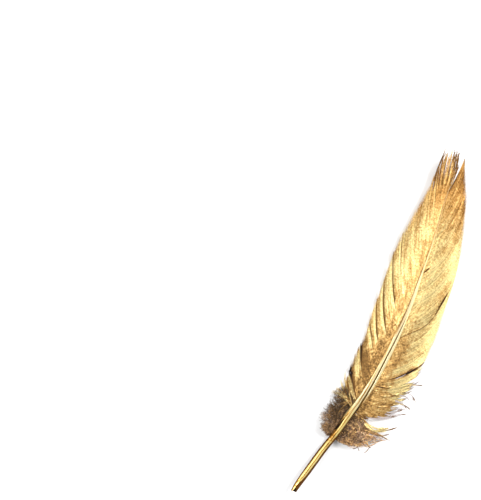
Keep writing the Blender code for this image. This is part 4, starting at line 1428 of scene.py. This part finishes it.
def shaft_wear(n, place, group):
    """The paint's thickness is stored round the shaft. It is worn in spots, paler above the down, and
    darkened in its crevices as painted shade.
    """
    round_about = n.vector(X=n.math("MULTIPLY", n.attribute("round_about"), 5.0 * MM),
                           Y=n.math("MULTIPLY", n.part(place, "Y"), 0.10))
    spots = n.ramp(n.noise(place, 850.0, 2.0, 0.6), 0.40, 0.60, 0.0, 1.3)
    # painted shade: crevices lose their paint
    bare = n.math("MULTIPLY", n.attribute("crevice"), 1.8)
    loss = n.math("ADD", n.math("MULTIPLY", spots, n.attribute("worn")), bare)
    pale, deep = (n.mix(n.attribute("upper"), *golds) for golds in zip(QUILL_GOLDS, UPPER_GOLDS))
    n.feed(group, Patch_Vector=round_about, Cover=n.math("SUBTRACT", n.attribute("cover"), loss),
           Pale_Gold=pale, Deep_Gold=deep)
    # painted shade in the groove and the pit, painted shadow on the right flank and in the bore
    return paint_crevice_shade(n, group.outputs["Color"], SHAFT_BARE_AND_SHADE_BROWN, SHAFT_SHADOW_BLACK)


SHAFT_FINISH = painted_material(
    "gold_shaft",
    {"Ground": (0.075, 0.028, 0.004, 1), "Patch Size": 0.9, "Grain Size": 0.35, "Grain": 0.2, "Mottle": 0.2,
     "Gloss": 0.10},
    shaft_wear, bump=0.15, shine=0.06)
print(SHAFT_FINISH.name, "has", len(SHAFT_FINISH.node_tree.nodes), "nodes")

# %% [markdown]
# ## Form of the quill and the shaft
#
# The bare quill is a horn tube, cut off at its end with a small notch. Above the down it goes on as a
# solid shaft with square shoulders and a groove along this side. Cutting the groove out of a bar would
# leave hard edges, and its place wanders. So the shaft is a row of outlines, and only the outline's
# form changes on the way.

# %% Outlines of the shaft
TOP_POINTS, BACK_POINTS = 39, 11
CUT_BACK = 1.9                  # how far the cut takes the top of the end back, in mm
GROOVE_DEPTH, LIP_RISE, PIT_DEPTH = 0.6, 0.05, 0.15     # shares of half the shaft's height
TURNS_SQUARE = (34.0, 47.0)     # places between which the round quill becomes the square shaft
# place along, place of the groove as a share of the half width to the right of the middle
GROOVE = [(28.0, 0.95), (38.0, 0.86), (42.0, 0.74), (46.0, 0.38), (50.0, 0.24), (60.0, 0.05),
          (68.0, -0.05), (76.0, 0.05), (90.0, 0.36), (105.0, 0.40)]
# place along, half width of the groove as a share of the half width
GROOVE_WIDTH = [(46.0, 0.24), (52.0, 0.20), (60.0, 0.16), (92.0, 0.14)]
# place along, how much further the shaft reaches to the left, in mm
LEFT_SWELL = [(34.0, 0.0), (38.0, 0.24), (45.0, 0.32), (52.0, 0.34), (57.0, 0.25), (63.0, 0.18),
              (70.0, 0.05), (80.0, 0.05), (90.0, 0.0)]


def bump_at(values, middle, width, power=2):
    """Height 1 at middle, falling to nothing about width away."""
    return np.exp(-np.abs((values - middle) / width) ** power)


def places_round():
    """Places round an outline, from -1 on the left to 1 on the right, and which are on top. They start
    on the right side, go over the top to the left side and back underneath."""
    over = np.linspace(1.0, -1.0, TOP_POINTS)
    under = np.linspace(-1.0, 1.0, BACK_POINTS + 2)[1:-1]
    across = np.sin(np.concatenate([over, under]) * math.pi / 2)
    return across, np.arange(len(across)) < TOP_POINTS


ACROSS, IS_TOP = places_round()


def groove_at(place):
    """Share of the groove's depth round the outline."""
    groove = IS_TOP * bump_at(ACROSS, column(GROOVE, place), column(GROOVE_WIDTH, place), 4)
    return groove * rise_and_fall(place, 38.0, 46.0, 72.0, 92.0)


def pit_at(place):
    """Share of the depth of a narrow pit in the quill's left shoulder, just below the shaft."""
    middle, width = -0.58 - 0.045 * (36.5 - place), 0.07 + 0.042 * max(0.0, 37.0 - place)
    return IS_TOP * bump_at(ACROSS, middle, width, 4) * rise_and_fall(place, 30.0, 31.0, 36.2, 37.4)


def outline_at(place, inner=1.0):
    """Points of the outline. inner shrinks it, for the bore."""
    middle, half_width, height, _ = along(SHAFT, place)
    square = 2.0 + 2.4 * rise_and_fall(place, *TURNS_SQUARE, 84.0, 106.0)
    up = np.where(IS_TOP, 1.0, -1.0) * (1.0 - np.abs(ACROSS) ** square) ** (1.0 / square)
    lip = IS_TOP * bump_at(ACROSS, column(GROOVE, place) - 0.34, 0.13)
    lip = lip * rise_and_fall(place, 38.0, 44.0, 76.0, 92.0)
    up = up - GROOVE_DEPTH * groove_at(place) + LIP_RISE * lip - PIT_DEPTH * pit_at(place)
    cut = CUT_BACK * IS_TOP * up * bump_at(ACROSS, 0.18, 0.62, 4) * max(0.0, 1.0 - place / 5.0)
    swell = column(LEFT_SWELL, place) * np.clip(ACROSS, -1.0, 0.0)
    x = middle + half_width * ACROSS * inner + swell
    z = ground_height(place) + height * (0.5 + 0.5 * up * inner)
    return np.stack([x, place + cut, z], axis=-1)


print("points round the shaft:", len(ACROSS))

# %% [markdown]
# ## Paint round the quill and the shaft
#
# Along the quill the paint lies in bands: bright stripes, which are painted highlights, darker lines
# between them, which are painted shade, and bare amber flanks. On the shaft a bright line runs left of
# the groove, a painted highlight over a raised lip, and a darker line of painted shade left of it. These
# bands are far wider than the paint's grain and follow the outline, so their thickness is worked out
# for each point of it, as a sum of soft bumps. A noise pattern would never line up with the shaft.

# %% Bands of paint
# place along, share of the half width where the bare right flank of the quill begins
FLANK = [(3.0, -0.20), (5.5, 0.14), (8.0, 0.34), (12.0, 0.35), (16.0, 0.45), (20.0, 0.38),
         (24.0, 0.48), (28.0, 0.58), (32.0, 0.65), (38.0, 0.70), (42.0, 0.47), (46.0, 0.25)]
# place along, share of the half width where the quill's bare left flank begins
LEFT_FLANK = [(3.0, 0.72), (8.0, 0.70), (12.0, 0.66), (15.0, 0.60), (22.0, 0.55), (25.0, 0.62), (28.0, 0.80)]
# place along, share of the half width where a fine seam runs along the shaft
SEAM = [(36.5, -0.55), (38.0, -0.43), (43.0, -0.20), (45.0, -0.20), (48.0, -0.38), (52.0, -0.39)]
# place along, thickness of the paint on the quill
QUILL_PAINT = [(0.0, 0.86), (23.0, 0.89), (27.0, 0.60), (29.0, 0.50), (31.5, 0.62), (35.0, 0.71),
               (46.0, 0.71)]
BLADE_FROM, BLADE_FULL = 40.0, 46.0         # places between which the quill's bands give way to the shaft's


def quill_paint(place):
    """Paint round the quill: bare flanks, bright stripes that are painted highlights, darker lines of painted
    shade between them, and worn stretches.
    """
    low_down = 1.0 - ease(place, 24.0, 30.0)
    flank, left_flank = column(FLANK, place), column(LEFT_FLANK, place)
    paint = column(QUILL_PAINT, place) - 2.2 * ease(ACROSS, flank - 0.06, flank + 0.12)
    paint = paint - 1.2 * low_down * ease(-ACROSS, left_flank, left_flank + 0.15)
    # painted highlight: a bright line near the right flank
    paint = paint + 0.35 * bump_at(place, 12.5, 6.0, 4) * bump_at(ACROSS, flank - 0.18, 0.15)
    # painted shade: a darker line between the bright ones
    paint = paint - (0.45 + 0.25 * low_down) * bump_at(ACROSS, flank - 0.66 + 0.16 * low_down, 0.13)
    # above the down: two bright stripes, painted highlights, and a darker line of painted shade
    stripes = bump_at(ACROSS, flank - 0.30, 0.16) + 0.6 * bump_at(ACROSS, flank - 0.92, 0.15)
    paint = paint + 0.6 * (1.0 - low_down) * (stripes - 0.8 * bump_at(ACROSS, flank - 1.30, 0.13))
    paint = paint + 0.5 * ease(-ACROSS, 0.70, 0.82) * ease(place, 36.0, 38.0)
    crest = 0.40 * bump_at(ACROSS, 0.30, 0.22) - 0.12 * ease(-ACROSS, -0.10, 0.10)
    return np.where(IS_TOP, paint + bump_at(place, 28.2, 2.0) * crest, -1.0)


def blade_paint(place):
    """Paint round the shaft: a bright line left of the groove, a painted highlight, a darker line of painted
    shade left of it, and a darker edge far up.
    """
    groove = column(GROOVE, place)
    paint = 0.70 + 0.14 * bump_at(place, 50.0, 6.0) + 0.15 * bump_at(place, 94.0, 9.0)
    # the bright line left of the groove is a painted highlight
    paint = paint - 0.35 * ease(place, 112.0, 126.0) + 0.5 * bump_at(ACROSS, groove - 0.30, 0.17)
    right_band = 0.3 * ease(place, 48.0, 56.0) - 0.3 * (1.0 - ease(place, 44.0, 50.0))
    paint = paint + right_band * (ACROSS > groove + 0.12) - 0.2 * (ACROSS > 0.93)
    # painted shade: a darker line left of the bright one
    shade_line = 0.2 + 0.25 * rise_and_fall(place, 42.0, 46.0, 54.0, 60.0)
    paint = paint - shade_line * bump_at(ACROSS, groove - 0.74, 0.20)
    edge = 0.75 * ease(place, 74.0, 84.0) * (1.0 - 0.6 * ease(place, 110.0, 122.0))
    return np.where(IS_TOP, paint - edge * (ACROSS < -0.7), 0.4)


def crevice_at(place):
    """Darkness round the shaft: painted shade in the groove and the pit, a painted shadow on the right flank,
    and a fine seam.
    """
    flank = column(FLANK, place)
    shadow = IS_TOP * ease(ACROSS, flank + 0.02, flank + 0.15) * rise_and_fall(place, 28.0, 32.0, 41.0, 45.0)
    seam = IS_TOP * bump_at(ACROSS, column(SEAM, place), 0.10) * rise_and_fall(place, 36.5, 38.0, 50.0, 56.0)
    dark = 0.70 * groove_at(place) + 1.5 * pit_at(place) + 0.95 * shadow + 0.28 * seam
    return np.clip(dark, 0.0, 1.0)


print("paint on the quill's crest at 20 mm:", round(float(quill_paint(20.0)[TOP_POINTS // 2]), 2))

# %% [markdown]
# ## The shaft's skin
#
# The outlines are joined by rows of four-sided faces. The row starts down in the bore, comes out to
# the cut end, turns over its rim and runs up the outside to the tip, so quill, bore and shaft are one
# closed skin. Bridging the outlines by hand would give the same, but not with a face for every number.

# %% Shaft: outlines joined into a skin
SHAFT_END = 143.0
BORE_SHARE, BORE_DEPTH = 0.78, 9.0          # the bore's share of the quill's width, and its depth
BORE_PLACES = (BORE_DEPTH, 6.0, 3.0, 0.0)
OUTER_PLACES = (*np.linspace(0.0, 4.0, 17), *np.linspace(4.5, SHAFT_END, 261))


def skin_faces(rings, count):
    """Faces between rings of count points each, with both ends closed."""
    faces = []
    for row in range(rings - 1):
        for index in range(count):
            a, b = row * count + index, row * count + (index + 1) % count
            faces.append((a, a + count, b + count, b))
    last = range((rings - 1) * count, rings * count)
    return faces + [tuple(range(count)), tuple(reversed(last))]


def make_shaft():
    """Quill, bore and shaft in one skin, with the numbers that the finish reads."""
    inside = [(outline_at(place, BORE_SHARE), place) for place in BORE_PLACES]
    outside = [(outline_at(place), place) for place in OUTER_PLACES]
    points = np.concatenate([outline for outline, _ in inside + outside])
    paints = []
    for _, place in inside + outside:
        quill, blade = quill_paint(place), blade_paint(place)
        paints.append(quill + (blade - quill) * ease(place, BLADE_FROM, BLADE_FULL))
    # the bore is painted dark inside: painted shadow
    darks = [np.ones(len(ACROSS)) for _ in inside] + [crevice_at(place) for _, place in outside]
    y = points[:, 1]
    values = {
        "cover": np.concatenate(paints),
        "crevice": np.concatenate(darks),
        "upper": ease(y, *TURNS_SQUARE),
        "round_about": np.tile(np.arange(len(ACROSS)) / len(ACROSS), len(paints)),
        "worn": 0.4 * bump_at(y, 26.0, 3.4) + bump_at(y, 3.6, 1.6),
    }
    mesh = bpy.data.meshes.new("shaft")
    mesh.from_pydata(((points - MIDDLE) * MM).tolist(), [], skin_faces(len(paints), len(ACROSS)))
    mesh.shade_smooth()
    for key, numbers in values.items():
        mesh.attributes.new(key, "FLOAT", "POINT").data.foreach_set("value", numbers.astype(np.float32))
    mesh.materials.append(SHAFT_FINISH)
    piece = new_object("shaft", mesh)
    belong(piece)
    print("shaft has", len(mesh.polygons), "faces")
    return piece


shaft = make_shaft()

# %% [markdown]
# ## Camera
#
# The feather is seen from straight above, from so far away that nothing is drawn out of shape. A lens
# without any perspective would do, but a long one still shows what stands nearer. Where the quill's
# end and the tip belong in the image is known, so the camera's place and its turn follow from them.

# %% Camera
IMAGE_WIDTH, IMAGE_HEIGHT = 481, 500
PIXELS_PER_MM = 2.4
BASE_PIXEL, TIP_PIXEL = (292.5, 489.5), (452.0, 150.0)     # where the quill's end and the tip belong
LENS, SENSOR = 120.0, 36.0
LEAN = math.atan2(TIP_PIXEL[0] - BASE_PIXEL[0], BASE_PIXEL[1] - TIP_PIXEL[1])
IMAGE_RIGHT = Vector((math.cos(LEAN), math.sin(LEAN), 0.0))
IMAGE_UP = Vector((-math.sin(LEAN), math.cos(LEAN), 0.0))


def make_camera():
    """A camera straight above the point that belongs in the middle of the image."""
    from_base = Vector((IMAGE_WIDTH / 2 - BASE_PIXEL[0], BASE_PIXEL[1] - IMAGE_HEIGHT / 2)) / PIXELS_PER_MM
    centre = IMAGE_RIGHT * from_base.x + IMAGE_UP * from_base.y - Vector(MIDDLE)
    distance = max(IMAGE_WIDTH, IMAGE_HEIGHT) / PIXELS_PER_MM * LENS / SENSOR
    data = bpy.data.cameras.new("camera")
    data.lens = LENS
    data.sensor_width = SENSOR
    data.clip_start, data.clip_end = 0.01, 20.0
    camera = new_object("camera", data)
    camera.location = Vector((centre.x, centre.y, distance)) * MM
    camera.rotation_euler = (0.0, 0.0, LEAN)
    bpy.context.scene.camera = camera
    print("camera", round(distance), "mm up, turned by", round(math.degrees(LEAN), 1), "degrees")


make_camera()

# %% [markdown]
# ## Table
#
# The feather lies on a plain white table. A curved backdrop would hide the horizon, but from straight
# above there is none, so one large face is enough.

# %% Table
FLOOR_HALF, FLOOR_DROP = 3.0, 0.03 * MM     # half the table's side, and how far it lies below the feather


def make_floor():
    """A wide white table top just below the feather."""
    corners = [(x * FLOOR_HALF, y * FLOOR_HALF, -FLOOR_DROP) for x, y in ((-1, -1), (1, -1), (1, 1), (-1, 1))]
    mesh = bpy.data.meshes.new("floor")
    mesh.from_pydata(corners, [], [(0, 1, 2, 3)])
    material = bpy.data.materials.new("floor")
    material.use_nodes = True
    shader = material.node_tree.nodes["Principled BSDF"]
    shader.inputs["Base Color"].default_value = (0.80, 0.80, 0.80, 1)
    shader.inputs["Roughness"].default_value = 0.9
    mesh.materials.append(material)
    floor = new_object("floor", mesh)
    print("the table is", 2.0 * FLOOR_HALF, "m wide")


make_floor()

# %% [markdown]
# ## Light
#
# One bare lamp would give hard shadows and a single glint. So two large soft lights stand on either
# side, which give the quill its two bright lines, and a white sky fills the shadows.

# %% Lights
def area_light(name, right, up, height, size, power):
    """A soft light, placed to the image's right and up of the feather's middle and aimed at it."""
    data = bpy.data.lights.new(name, "AREA")
    data.size = size
    data.energy = power
    lamp = new_object(name, data)
    lamp.location = IMAGE_RIGHT * right + IMAGE_UP * up + Vector((0.0, 0.0, height))
    lamp.rotation_euler = (-lamp.location).to_track_quat("-Z", "Y").to_euler()
    print(name, "light", round(lamp.location.length, 2), "m away,", power, "W")


area_light("key", 0.40, 0.20, 0.50, 0.26, 6.0)
area_light("fill", -0.48, 0.02, 0.42, 0.42, 4.6)
world = bpy.data.worlds.new("studio")
world.use_nodes = True
world.node_tree.nodes["Background"].inputs["Color"].default_value = (1.0, 1.0, 1.0, 1)
world.node_tree.nodes["Background"].inputs["Strength"].default_value = 0.46
bpy.context.scene.world = world
bpy.context.scene.view_settings.view_transform = "Standard"

# %% [markdown] ## Sizes The dressed feather has to keep to the box of its solid, or another part
# that fits the solid would touch its hairs. Points that left the box were moved back into it as the
# pieces were made.
